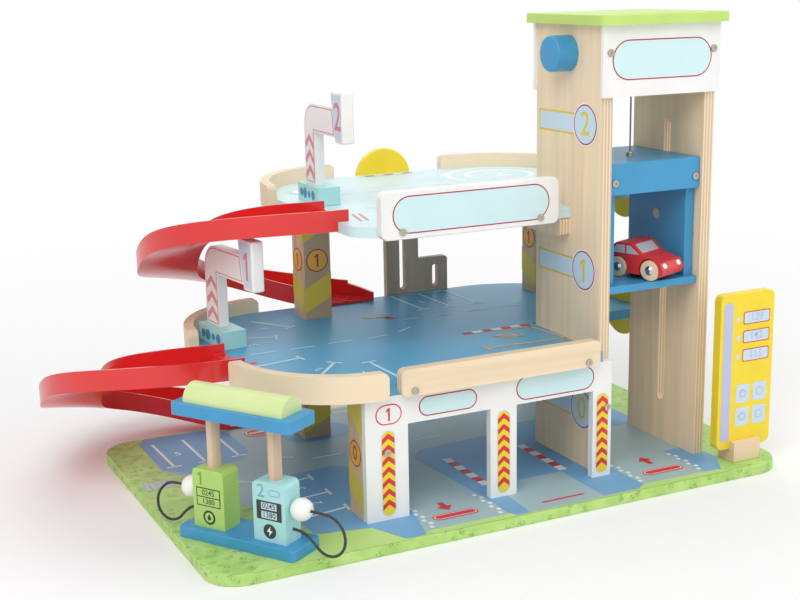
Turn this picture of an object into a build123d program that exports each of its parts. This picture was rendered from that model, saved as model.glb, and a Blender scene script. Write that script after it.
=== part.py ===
from build123d import *
import os
from math import cos, pi, radians, sin, tan

os.makedirs("parts", exist_ok=True)

# A wooden toy parking garage with three storeys, a wound lift and two curved ramps.
# Millimetres, +Z up. The origin is the centre of the base board's underside.
# Distances "from_left" and "from_front" are measured from the base board's edges.

# base board
base_length = 600
base_depth = 378
base_thick = 10
base_corner = 32
edge_round = 1.2

# storeys and decks
storey_ground = 116
storey_first = 121
deck_thick = 10
deck_overrun = 9.5
deck_behind_tower = 7
deck_1_from_left = 80
deck_1_to_back = 365
deck_1_left_corner = 100
deck_1_right_corner = 120
deck_2_from_left = 184
deck_2_from_front = 107
deck_2_to_back = 420
deck_2_front_corner = 25
deck_2_left_corner = 113
deck_2_right_corner = 115

# lift tower
panel_thick = 12
tower_clear = 105.3
tower_depth = 113
tower_from_right = 60.5
tower_from_front = 56
panel_height = 431
head_board_thick = 3.7
head_board_height = 65.5
head_board_overhang = 2
head_board_screw_rise = 40.6
roof_thick = 9.6
roof_overhang = 7.5
roof_overhang_front = 12
roof_corner = 6
slot_width = 11
slot_foot = 43
slot_length = 292.5
ledge_thick = 12
ledge_height = 18
ledge_round = 4

# winch
winch_drop = 27
axle_diameter = 10
axle_clear = 0.08
knob_diameter = 34
knob_length = 22
turned_round = 2
collar_diameter = 20
collar_length = 6
spool_core = 20
spool_flange = 32
spool_length = 14
spool_flange_thick = 2.5
lift_cord_diameter = 1.6

# lift cabin
cabin_gap = 1
cabin_from_front = 3
cabin_depth = 107
cabin_height = 125
cabin_floor_thick = 7
cabin_wall_thick = 10
cabin_top_thick = 7
apron_thick = 7
apron_height = 23
cabin_rest = 178
guide_clear = 0.3
guide_head = 17
guide_head_thick = 5
eye_diameter = 7
eye_height = 5

# street front under the first deck
facade_from_left = 160
facade_thick = 7.4
facade_lap = 11
facade_leg_left = 42
facade_leg_mid = 28
facade_leg_right = 21
facade_band = 28
facade_post_screw_rise = 64
facade_tower_screw_rise = 70

# posts and the slotted rear panel
post_side = 31
post_chamfer = 1
left_post_from_left = 199
left_post_from_front = 292
upper_post_from_left = 211
upper_post_from_front = 308
rear_post_from_left = 485
rear_post_from_front = 290
rear_panel_from_left = 334.5
rear_panel_thick = 8
rear_panel_length = 77
rear_panel_tall_part = 40
rear_panel_low_rise = 49
rear_panel_round = 4
rear_slot_width = 7.6
rear_slot_foot = 15.5
rear_long_slot_from_end = 20
rear_short_slot_from_end = 61.5
rear_short_slot_length = 25

# rails, sign board and stop discs on the decks
rail_thick = 10
rail_height = 25
rail_round = 6
front_rail_from_left = 192
front_rail_to_tower = 9
front_rail_screw_inset = 13
sign_board_from_left = 203
sign_board_length = 188
sign_board_height = 44.5
sign_board_drop = 2
sign_board_round = 7
sign_screw_inset = 21
sign_screw_rise = 7
disc_diameter = 67
disc_thick = 9
disc_from_strip = 41
rear_disc_from_left = 360

# screws
screw_head = 7
screw_head_height = 1.4
screw_shank = 3.6
screw_length = 15
screw_clear = 0.1
screw_socket = 2.6

# ramps
ramp_width = 60
ramp_wall_height = 20
ramp_wall = 2.5
ramp_floor = 3
ramp_radius = 113.4
ramp_turn = 228
ramp_lead = 5
ramp_lap = 11
ramp_tongue = 2
ramp_sill = 1
ramp_lip_height = 10
ramp_taper = 45
ramp_rib = 1.6
ramp_rib_height = 0.8
ramp_rib_count = 5
ramp_spare = 6
ramp_sections = 24
# (share of the turn, share of the fall): level off the deck, steep at the far side, easy to the landing
ramp_fall = [
    (0, 0), (0.17, 0.03), (0.33, 0.18), (0.48, 0.5),
    (0.65, 0.7), (0.82, 0.88), (0.92, 0.965), (1, 1),
]
ramp_upper_from_front = 181
ramp_lower_from_front = 192
peg_diameter = 5
peg_head = 7.5
peg_head_height = 1.2
peg_depth = 8
peg_offset = 21

# level signs
sign_block_length = 56
sign_block_width = 24
sign_block_height = 18
sign_slot_depth = 8
sign_post_width = 28
sign_arm_height = 28
sign_height = 99
sign_reach = 80
sign_thick = 10
sign_corner = 24
sign_box_length = 30
sign_box_foot = 20
sign_box_height = 49
sign_box_width = 12.5
sign_box_rise = 16
sign_box_round = 2
sign_post_inset = 5
sign_slot_clear = 0.1
sign_1_from_left = 103.6
sign_1_from_front = 261.5
sign_1_heading = -83
sign_2_from_left = 215
sign_2_from_front = 269
sign_2_heading = -92

# fuel pumps under their canopy
pump_from_left = 53
pump_from_front = 64
pump_heading = -56.8
pump_plate_length = 124
pump_plate_width = 41
pump_plate_thick = 10
pump_plate_corner = 4
pump_length = 33.5
pump_width = 22
pump_height = 54
pump_round = 5
pump_spacing = 65
pump_setback = 1.5
pump_dowel = 12
canopy_clear = 49
canopy_length = 126
canopy_width = 40
canopy_thick = 11
canopy_ridge_length = 104
canopy_ridge_radius = 15
nozzle_radius = 10
nozzle_seat = 0.6
nozzle_flat = 0.5
nozzle_height = 31
nozzle_peg = 5
nozzle_peg_length = 6
nozzle_peg_clear = 0.1
hose_diameter = 2.5

# pay and information totem
totem_from_right = 37
totem_from_front = 28
totem_block_length = 32.5
totem_block_width = 24
totem_block_height = 20
totem_slot_depth = 7.5
totem_board_width = 66
totem_board_height = 158
totem_board_thick = 10
totem_round = 7

# little car standing in the lift
car_forward = 26
car_sideways = 7
car_heading = -68
car_length = 68
car_width = 38
car_height = 35
car_wheelbase = 36
car_clearance = 5
car_chin = 2
car_bumper_height = 12
car_nose_height = 19
car_waist = 24.5
car_bonnet = 24
car_screen_foot = 36
car_rear_slope = 15
car_round = 3
wheel_diameter = 20.4
wheel_thick = 5.5
wheel_round = 1.5
wheel_well_gap = 1.4
well_clear = 0.6
car_axle_diameter = 3
hub_diameter = 9
hub_height = 1.5

# lift-off pieces stand this far off what carries them
stand_gap = 0.3

# levels
ground_top = base_thick
deck_1_low = ground_top + storey_ground
deck_1_top = deck_1_low + deck_thick
deck_2_low = deck_1_top + storey_first
deck_2_top = deck_2_low + deck_thick
panel_top = ground_top + panel_height


def from_left(distance):
    return distance - base_length / 2


def from_front(distance):
    return distance - base_depth / 2


# plan positions that several pieces share
tower_right = base_length / 2 - tower_from_right
shaft_right = tower_right - panel_thick
shaft_left = shaft_right - tower_clear
tower_left = shaft_left - panel_thick
tower_front = from_front(tower_from_front)
tower_back = tower_front + tower_depth
tower_mid_x = (tower_left + tower_right) / 2
tower_mid_y = (tower_front + tower_back) / 2
facade_left = from_left(facade_from_left)
facade_right = tower_left + facade_lap
facade_front = tower_front - facade_thick
deck_right = tower_right + deck_overrun
deck_strip_front = tower_back + deck_behind_tower
deck_1_left = from_left(deck_1_from_left)
deck_1_back = from_front(deck_1_to_back)
deck_2_left = from_left(deck_2_from_left)
deck_2_front = from_front(deck_2_from_front)
deck_2_back = from_front(deck_2_to_back)


def facing_front(y):
    return Plane.XZ.offset(-y)


def facing_right(x):
    return Plane.YZ.offset(x)


def facing_left(x, y, z):
    return Plane(origin=(x, y, z), x_dir=(0, -1, 0), z_dir=(-1, 0, 0))


def looking_front(x, y, z):
    return Plane(origin=(x, y, z), x_dir=(1, 0, 0), z_dir=(0, -1, 0))


def looking_back(x, y, z):
    return Plane(origin=(x, y, z), x_dir=(-1, 0, 0), z_dir=(0, 1, 0))


def drill(planes):
    # clearance holes for the screws that pass through the piece being built
    with Locations(*[plane.location for plane in planes]):
        Cylinder(screw_shank / 2 + screw_clear, 2 * screw_length + 1, mode=Mode.SUBTRACT)


def fit_screws(planes):
    # button-headed screws with their heads standing on the given planes
    with Locations(*[plane.location for plane in planes]):
        Cylinder(screw_head / 2, screw_head_height, align=(Align.CENTER, Align.CENTER, Align.MIN))
        Cylinder(screw_shank / 2, screw_length, align=(Align.CENTER, Align.CENTER, Align.MAX))
    with Locations(*[plane.offset(screw_head_height).location for plane in planes]):
        Cylinder(screw_socket / 2, screw_head_height, mode=Mode.SUBTRACT)


# screw places: each is a plane on the surface that the head stands on
front_rail_left = from_left(front_rail_from_left)
front_rail_right = tower_left - front_rail_to_tower
front_rail_face = facade_front - rail_thick
rail_screw_level = deck_1_low + deck_thick / 2
front_rail_screws = [
    looking_front(front_rail_left + front_rail_screw_inset, front_rail_face, rail_screw_level),
    looking_front(front_rail_right - front_rail_screw_inset, front_rail_face, rail_screw_level),
]
facade_post_screw = looking_front(
    facade_left + facade_leg_left / 2, facade_front, ground_top + facade_post_screw_rise
)
facade_tower_screw = looking_front(
    tower_left + panel_thick / 2, facade_front, ground_top + facade_tower_screw_rise
)
sign_board_left = from_left(sign_board_from_left)
sign_board_right = sign_board_left + sign_board_length
sign_board_face = deck_2_front - rail_thick
sign_board_low = deck_2_low - sign_board_drop
sign_board_screws = [
    looking_front(sign_board_left + sign_screw_inset, sign_board_face, sign_board_low + sign_screw_rise),
    looking_front(sign_board_right - sign_screw_inset, sign_board_face, sign_board_low + sign_screw_rise),
]
head_board_low = panel_top - head_board_height
head_board_screw_level = head_board_low + head_board_screw_rise
head_board_screws = []
for side in (tower_left + panel_thick / 2, tower_right - panel_thick / 2):
    head_board_screws.append(looking_front(side, tower_front - head_board_thick, head_board_screw_level))
    head_board_screws.append(looking_back(side, tower_back + head_board_thick, head_board_screw_level))


# ---- base board ----
with BuildPart() as base_board:
    with BuildSketch():
        RectangleRounded(base_length, base_depth, base_corner)
    extrude(amount=base_thick)
    fillet(base_board.edges().group_by(Axis.Z)[-1], edge_round)
base_board.part.label = "base_board"
export_step(base_board.part, "parts/base_board.step")


# ---- decks ----
def deck_outline(left, front, back, front_corner, left_corner, right_corner):
    # an L-shaped deck that passes beside and behind the tower, with three rounded corners
    with BuildSketch() as outline:
        Polygon(
            (left, front),
            (tower_left, front),
            (tower_left, deck_strip_front),
            (deck_right, deck_strip_front),
            (deck_right, back),
            (left, back),
            align=None,
        )
        for corner, radius in (
            ((left, front, 0), front_corner),
            ((left, back, 0), left_corner),
            ((deck_right, back, 0), right_corner),
        ):
            fillet(outline.vertices().sort_by_distance(corner)[0], radius)
    return outline.sketch


ramp_lower_y = from_front(ramp_lower_from_front)
ramp_upper_y = from_front(ramp_upper_from_front)

with BuildPart() as deck_1:
    with BuildSketch(Plane.XY.offset(deck_1_low)):
        add(
            deck_outline(
                deck_1_left, facade_front, deck_1_back,
                deck_1_left_corner, deck_1_left_corner, deck_1_right_corner,
            )
        )
    extrude(amount=deck_thick)
    with Locations((deck_1_left + ramp_lap / 2, ramp_lower_y + peg_offset, deck_1_top)):
        Cylinder(peg_diameter / 2 + stand_gap, 2 * (peg_depth + stand_gap), mode=Mode.SUBTRACT)
    drill(front_rail_screws)
deck_1.part.label = "deck_1"
export_step(deck_1.part, "parts/deck_1.step")

with BuildPart() as deck_2:
    with BuildSketch(Plane.XY.offset(deck_2_low)):
        add(
            deck_outline(
                deck_2_left, deck_2_front, deck_2_back,
                deck_2_front_corner, deck_2_left_corner, deck_2_right_corner,
            )
        )
    extrude(amount=deck_thick)
    with Locations((deck_2_left + ramp_lap / 2, ramp_upper_y + peg_offset, deck_2_top)):
        Cylinder(peg_diameter / 2 + stand_gap, 2 * (peg_depth + stand_gap), mode=Mode.SUBTRACT)
    drill(sign_board_screws)
deck_2.part.label = "deck_2"
export_step(deck_2.part, "parts/deck_2.step")

# ---- street front with two doorways ----
facade_length = facade_right - facade_left
door_width = (facade_length - facade_leg_left - facade_leg_mid - facade_leg_right) / 2
door_height = storey_ground - facade_band
first_door_left = facade_left + facade_leg_left
second_door_left = first_door_left + door_width + facade_leg_mid
with BuildPart() as facade:
    with BuildSketch(facing_front(facade_front)):
        with Locations((facade_left, ground_top)):
            Rectangle(facade_length, storey_ground, align=Align.MIN)
        with Locations((first_door_left, ground_top), (second_door_left, ground_top)):
            Rectangle(door_width, door_height, align=Align.MIN, mode=Mode.SUBTRACT)
    extrude(amount=-facade_thick)
    drill([facade_post_screw, facade_tower_screw])
facade.part.label = "facade"
export_step(facade.part, "parts/facade.step")

# ---- lift tower ----
winch_level = panel_top - winch_drop
with BuildPart() as tower_left_panel:
    with BuildSketch(facing_right(tower_left)):
        with Locations((tower_front, ground_top)):
            Rectangle(tower_depth, panel_height, align=Align.MIN)
        with Locations((tower_mid_y, winch_level)):
            Circle(axle_diameter / 2 + axle_clear, mode=Mode.SUBTRACT)
    extrude(amount=panel_thick)
    drill([facade_tower_screw])
    drill(head_board_screws)
tower_left_panel.part.label = "tower_left_panel"
export_step(tower_left_panel.part, "parts/tower_left_panel.step")

slot_low = ground_top + slot_foot
slot_mid = slot_low + slot_length / 2
with BuildPart() as tower_right_panel:
    with BuildSketch(facing_right(shaft_right)):
        with Locations((tower_front, ground_top)):
            Rectangle(tower_depth, panel_height, align=Align.MIN)
        with Locations((tower_mid_y, winch_level)):
            Circle(axle_diameter / 2 + axle_clear, mode=Mode.SUBTRACT)
        with Locations(Location((tower_mid_y, slot_mid), 90)):
            SlotOverall(slot_length, slot_width, mode=Mode.SUBTRACT)
    extrude(amount=panel_thick)
    drill(head_board_screws)
tower_right_panel.part.label = "tower_right_panel"
export_step(tower_right_panel.part, "parts/tower_right_panel.step")

head_board_length = tower_right - tower_left + 2 * head_board_overhang
with BuildPart() as tower_head_boards:
    for face_y in (tower_front - head_board_thick, tower_back):
        with BuildSketch(facing_front(face_y)):
            with Locations((tower_mid_x, head_board_low + head_board_height / 2)):
                Rectangle(head_board_length, head_board_height)
        extrude(amount=-head_board_thick)
    drill(head_board_screws)
tower_head_boards.part.label = "tower_head_boards"
export_step(tower_head_boards.part, "parts/tower_head_boards.step")

roof_front = tower_front - roof_overhang_front
roof_back = tower_back + roof_overhang_front
roof_left = tower_left - roof_overhang
roof_right = tower_right + roof_overhang
with BuildPart() as tower_roof:
    with BuildSketch(Plane.XY.offset(panel_top)):
        with Locations(((roof_left + roof_right) / 2, (roof_front + roof_back) / 2)):
            RectangleRounded(roof_right - roof_left, roof_back - roof_front, roof_corner)
    extrude(amount=roof_thick)
    fillet(tower_roof.edges().group_by(Axis.Z)[-1], edge_round)
tower_roof.part.label = "tower_roof"
export_step(tower_roof.part, "parts/tower_roof.step")

# ledges on the tower's left panel carry the ends of both decks
with BuildPart() as deck_ledges:
    for ledge_front, ledge_top in ((tower_front, deck_1_low), (deck_2_front, deck_2_low)):
        with BuildSketch(facing_right(tower_left - ledge_thick)) as ledge_profile:
            with Locations((ledge_front, ledge_top - ledge_height)):
                Rectangle(tower_back - ledge_front, ledge_height, align=Align.MIN)
            fillet(ledge_profile.vertices().group_by(Axis.Z)[0], ledge_round)
        extrude(amount=ledge_thick)
deck_ledges.part.label = "deck_ledges"
export_step(deck_ledges.part, "parts/deck_ledges.step")

# ---- winch: knob, axle and spool turn together ----
spool_front_edge = tower_mid_y - spool_core / 2
with BuildPart() as winch_axle:
    with BuildSketch(facing_right(tower_left - stand_gap)):
        with Locations((tower_mid_y, winch_level)):
            Circle(axle_diameter / 2)
    extrude(amount=tower_right - tower_left + 2 * stand_gap)
winch_axle.part.label = "winch_axle"
export_step(winch_axle.part, "parts/winch_axle.step")

with BuildPart() as winch_knob:
    with BuildSketch(facing_left(tower_left - stand_gap, tower_mid_y, winch_level)):
        Circle(knob_diameter / 2)
    extrude(amount=knob_length)
    fillet(winch_knob.edges().group_by(Axis.X)[0], turned_round)
winch_knob.part.label = "winch_knob"
export_step(winch_knob.part, "parts/winch_knob.step")

spool_left = tower_mid_x - spool_length / 2
with BuildPart() as winch_spool:
    with BuildSketch(facing_front(tower_mid_y)):
        with BuildLine():
            Polyline(
                (spool_left, winch_level + axle_diameter / 2),
                (spool_left, winch_level + spool_flange / 2),
                (spool_left + spool_flange_thick, winch_level + spool_flange / 2),
                (spool_left + spool_flange_thick, winch_level + spool_core / 2),
                (spool_left + spool_length - spool_flange_thick, winch_level + spool_core / 2),
                (spool_left + spool_length - spool_flange_thick, winch_level + spool_flange / 2),
                (spool_left + spool_length, winch_level + spool_flange / 2),
                (spool_left + spool_length, winch_level + axle_diameter / 2),
                close=True,
            )
        make_face()
    revolve(axis=Axis((0, tower_mid_y, winch_level), (1, 0, 0)))
winch_spool.part.label = "winch_spool"
export_step(winch_spool.part, "parts/winch_spool.step")

# a stop collar keeps the axle in the right panel
with BuildPart() as winch_collar:
    with BuildSketch(facing_right(tower_right + stand_gap)):
        with Locations((tower_mid_y, winch_level)):
            Circle(collar_diameter / 2)
    extrude(amount=collar_length)
    fillet(winch_collar.edges().group_by(Axis.X)[-1], turned_round)
winch_collar.part.label = "winch_collar"
export_step(winch_collar.part, "parts/winch_collar.step")

# ---- lift cabin, open at the front and at the back ----
cabin_left = shaft_left + cabin_gap
cabin_right = shaft_right - cabin_gap
cabin_width = cabin_right - cabin_left
cabin_front = tower_front + cabin_from_front
cabin_back = cabin_front + cabin_depth
cabin_low = ground_top + cabin_rest
cabin_floor_top = cabin_low + cabin_floor_thick
cabin_top = cabin_low + cabin_height
cabin_ceiling = cabin_top - cabin_top_thick
cabin_mid = (cabin_low + cabin_top) / 2
cord_y = spool_front_edge - lift_cord_diameter / 2

with BuildPart() as cabin_floor:
    with BuildSketch(Plane.XY.offset(cabin_low)):
        with Locations((cabin_left, cabin_front)):
            Rectangle(cabin_width, cabin_depth, align=Align.MIN)
    extrude(amount=cabin_floor_thick)
cabin_floor.part.label = "cabin_floor"
export_step(cabin_floor.part, "parts/cabin_floor.step")

with BuildPart() as cabin_roof:
    with BuildSketch(Plane.XY.offset(cabin_ceiling)):
        with Locations((cabin_left, cabin_front)):
            Rectangle(cabin_width, cabin_depth, align=Align.MIN)
    extrude(amount=cabin_top_thick)
cabin_roof.part.label = "cabin_roof"
export_step(cabin_roof.part, "parts/cabin_roof.step")

apron_screw_level = cabin_ceiling - apron_height / 2
apron_front_screws = [
    looking_front(cabin_left + cabin_wall_thick / 2, cabin_front, apron_screw_level),
    looking_front(cabin_right - cabin_wall_thick / 2, cabin_front, apron_screw_level),
]
apron_back_screws = [
    looking_back(cabin_left + cabin_wall_thick / 2, cabin_back, apron_screw_level),
    looking_back(cabin_right - cabin_wall_thick / 2, cabin_back, apron_screw_level),
]
for name, wall_left in (("cabin_left_wall", cabin_left), ("cabin_right_wall", cabin_right - cabin_wall_thick)):
    with BuildPart() as cabin_wall:
        with BuildSketch(facing_right(wall_left)):
            with Locations((cabin_front + apron_thick, cabin_floor_top)):
                Rectangle(cabin_depth - 2 * apron_thick, cabin_ceiling - cabin_floor_top, align=Align.MIN)
            if name == "cabin_right_wall":
                with Locations((tower_mid_y, cabin_mid)):
                    Circle(slot_width / 2 - guide_clear, mode=Mode.SUBTRACT)
        extrude(amount=cabin_wall_thick)
        drill(apron_front_screws + apron_back_screws)
    cabin_wall.part.label = name
    export_step(cabin_wall.part, f"parts/{name}.step")

with BuildPart() as cabin_aprons:
    for apron_face in (cabin_front, cabin_back - apron_thick):
        with BuildSketch(facing_front(apron_face)):
            with Locations((cabin_left, cabin_ceiling - apron_height)):
                Rectangle(cabin_width, apron_height, align=Align.MIN)
        extrude(amount=-apron_thick)
    drill(apron_front_screws + apron_back_screws)
cabin_aprons.part.label = "cabin_aprons"
export_step(cabin_aprons.part, "parts/cabin_aprons.step")

# a dowel in the cabin's right wall runs in the tower's slot, with a button outside
with BuildPart() as guide_pin:
    with BuildSketch(facing_right(cabin_right - cabin_wall_thick)):
        with Locations((tower_mid_y, cabin_mid)):
            Circle(slot_width / 2 - guide_clear)
    extrude(amount=cabin_wall_thick + cabin_gap + panel_thick + 2 * stand_gap)
    with BuildSketch(facing_right(tower_right + 2 * stand_gap)):
        with Locations((tower_mid_y, cabin_mid)):
            Circle(guide_head / 2)
    extrude(amount=guide_head_thick)
    fillet(guide_pin.edges().group_by(Axis.X)[-1], turned_round)
guide_pin.part.label = "guide_pin"
export_step(guide_pin.part, "parts/guide_pin.step")

with BuildPart() as cord_eye:
    with BuildSketch(Plane.XY.offset(cabin_top)):
        with Locations((tower_mid_x, cord_y)):
            Circle(eye_diameter / 2)
    extrude(amount=eye_height)
    fillet(cord_eye.edges().group_by(Axis.Z)[-1], turned_round)
cord_eye.part.label = "cord_eye"
export_step(cord_eye.part, "parts/cord_eye.step")

with BuildPart() as lift_cord:
    with BuildSketch(Plane.XY.offset(cabin_top + eye_height)):
        with Locations((tower_mid_x, cord_y - stand_gap)):
            Circle(lift_cord_diameter / 2)
    extrude(amount=winch_level - cabin_top - eye_height)
lift_cord.part.label = "lift_cord"
export_step(lift_cord.part, "parts/lift_cord.step")

# ---- posts ----
def stand_post(left, front, low, high):
    with BuildSketch(Plane.XY.offset(low)) as post_section:
        with Locations((left, front)):
            Rectangle(post_side, post_side, align=Align.MIN)
        chamfer(post_section.vertices(), post_chamfer)
    return extrude(post_section.sketch, amount=high - low, mode=Mode.PRIVATE)


with BuildPart() as ground_posts:
    add(stand_post(facade_left, tower_front, ground_top, deck_1_low))
    add(stand_post(from_left(left_post_from_left), from_front(left_post_from_front), ground_top, deck_1_low))
    add(stand_post(from_left(rear_post_from_left), from_front(rear_post_from_front), ground_top, deck_1_low))
    drill([facade_post_screw])
ground_posts.part.label = "ground_posts"
export_step(ground_posts.part, "parts/ground_posts.step")

with BuildPart() as upper_posts:
    add(stand_post(from_left(upper_post_from_left), from_front(upper_post_from_front), deck_1_top, deck_2_low))
    add(stand_post(from_left(rear_post_from_left), from_front(rear_post_from_front), deck_1_top, deck_2_low))
upper_posts.part.label = "upper_posts"
export_step(upper_posts.part, "parts/upper_posts.step")

# ---- slotted panel between the decks at the back ----
rear_panel_left = from_left(rear_panel_from_left)
rear_long_slot_length = storey_first + deck_thick - rear_slot_foot - rear_slot_width
with BuildPart() as rear_panel:
    with BuildSketch(facing_front(deck_1_back)) as rear_profile:
        with Locations((rear_panel_left, deck_1_low)):
            Rectangle(rear_panel_length, rear_panel_low_rise, align=Align.MIN)
            Rectangle(rear_panel_tall_part, deck_2_low - deck_1_low, align=Align.MIN)
        fillet(rear_profile.vertices().group_by(Axis.X)[-1], rear_panel_round)
        with Locations(
            Location(
                (
                    rear_panel_left + rear_long_slot_from_end,
                    deck_1_low + rear_slot_foot + rear_long_slot_length / 2,
                ),
                90,
            )
        ):
            SlotOverall(rear_long_slot_length, rear_slot_width, mode=Mode.SUBTRACT)
        with Locations(
            Location(
                (
                    rear_panel_left + rear_short_slot_from_end,
                    deck_1_low + rear_slot_foot + rear_short_slot_length / 2,
                ),
                90,
            )
        ):
            SlotOverall(rear_short_slot_length, rear_slot_width, mode=Mode.SUBTRACT)
    extrude(amount=-rear_panel_thick)
rear_panel.part.label = "rear_panel"
export_step(rear_panel.part, "parts/rear_panel.step")

# ---- rails ----
with BuildPart() as rail_1_front:
    with BuildSketch(facing_front(front_rail_face)):
        with Locations(((front_rail_left + front_rail_right) / 2, deck_1_low + rail_height / 2)):
            RectangleRounded(front_rail_right - front_rail_left, rail_height, rail_round)
    extrude(amount=-rail_thick)
    drill(front_rail_screws)
rail_1_front.part.label = "rail_1_front"
export_step(rail_1_front.part, "parts/rail_1_front.step")

curved_rails = {
    "rail_1_left_front": (
        deck_1_left + deck_1_left_corner, facade_front + deck_1_left_corner,
        deck_1_left_corner, deck_1_low, 180,
    ),
    "rail_1_left_back": (
        deck_1_left + deck_1_left_corner, deck_1_back - deck_1_left_corner,
        deck_1_left_corner, deck_1_low, 90,
    ),
    "rail_2_left_back": (
        deck_2_left + deck_2_left_corner, deck_2_back - deck_2_left_corner,
        deck_2_left_corner, deck_2_low, 90,
    ),
    "rail_2_right_back": (
        deck_right - deck_2_right_corner, deck_2_back - deck_2_right_corner,
        deck_2_right_corner, deck_2_low, 0,
    ),
}
for name, (center_x, center_y, radius, low, start) in curved_rails.items():
    # a quarter ring of bent ply round the deck's corner
    outward = (cos(radians(start)), sin(radians(start)), 0)
    across = (sin(radians(start)), -cos(radians(start)), 0)
    with BuildPart() as curved_rail:
        with BuildSketch(Plane(origin=(center_x, center_y, low), x_dir=outward, z_dir=across)):
            with Locations((radius, 0)):
                Rectangle(rail_thick, rail_height, align=Align.MIN)
        revolve(axis=Axis((center_x, center_y, 0), (0, 0, 1)), revolution_arc=90)
        fillet(curved_rail.edges().filter_by(GeomType.LINE).filter_by(Axis.Z, reverse=True), rail_round)
    curved_rail.part.label = name
    export_step(curved_rail.part, f"parts/{name}.step")

with BuildPart() as deck_2_sign:
    with BuildSketch(facing_front(sign_board_face)):
        with Locations(((sign_board_left + sign_board_right) / 2, sign_board_low + sign_board_height / 2)):
            RectangleRounded(sign_board_length, sign_board_height, sign_board_round)
    extrude(amount=-rail_thick)
    fillet(deck_2_sign.faces().sort_by(Axis.Y)[0].edges(), edge_round)
    drill(sign_board_screws)
deck_2_sign.part.label = "deck_2_sign"
export_step(deck_2_sign.part, "parts/deck_2_sign.step")

# ---- round stops at the open ends of the decks ----
stop_y = deck_strip_front + disc_from_strip
with BuildPart() as stop_discs:
    for level in (deck_1_low, deck_2_low):
        with BuildSketch(facing_right(deck_right)):
            with Locations((stop_y, level + deck_thick / 2)):
                Circle(disc_diameter / 2)
        extrude(amount=disc_thick)
    with BuildSketch(facing_front(deck_2_back)):
        with Locations((from_left(rear_disc_from_left), deck_2_low + deck_thick / 2)):
            Circle(disc_diameter / 2)
    extrude(amount=-disc_thick)
    fillet(stop_discs.edges(), edge_round)
stop_discs.part.label = "stop_discs"
export_step(stop_discs.part, "parts/stop_discs.step")

# ---- screws that show ----
frame_screw_planes = front_rail_screws + sign_board_screws + head_board_screws
frame_screw_planes += [facade_post_screw, facade_tower_screw]
with BuildPart() as frame_screws:
    fit_screws(frame_screw_planes)
frame_screws.part.label = "frame_screws"
export_step(frame_screws.part, "parts/frame_screws.step")

with BuildPart() as cabin_screws:
    fit_screws(apron_front_screws + apron_back_screws)
cabin_screws.part.label = "cabin_screws"
export_step(cabin_screws.part, "parts/cabin_screws.step")


# ---- curved ramps ----
rib_step = (ramp_width - 2 * ramp_wall) / (ramp_rib_count + 1)
fall_line = Spline(*ramp_fall)


def channel_section(plane):
    # two walls and a ribbed floor, seen along the ramp
    half = ramp_width / 2
    rib_top = ramp_floor + ramp_rib_height
    outline = [(-half, ramp_wall_height), (-half, 0), (half, 0), (half, ramp_wall_height)]
    outline += [(half - ramp_wall, ramp_wall_height), (half - ramp_wall, ramp_floor)]
    for rib in range(ramp_rib_count, 0, -1):
        rib_x = -half + ramp_wall + rib * rib_step
        outline += [(rib_x + ramp_rib / 2, ramp_floor), (rib_x + ramp_rib / 2, rib_top)]
        outline += [(rib_x - ramp_rib / 2, rib_top), (rib_x - ramp_rib / 2, ramp_floor)]
    outline += [(-half + ramp_wall, ramp_floor), (-half + ramp_wall, ramp_wall_height)]
    with BuildSketch(plane) as section:
        Polygon(*outline, align=None)
    return section.sketch


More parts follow.
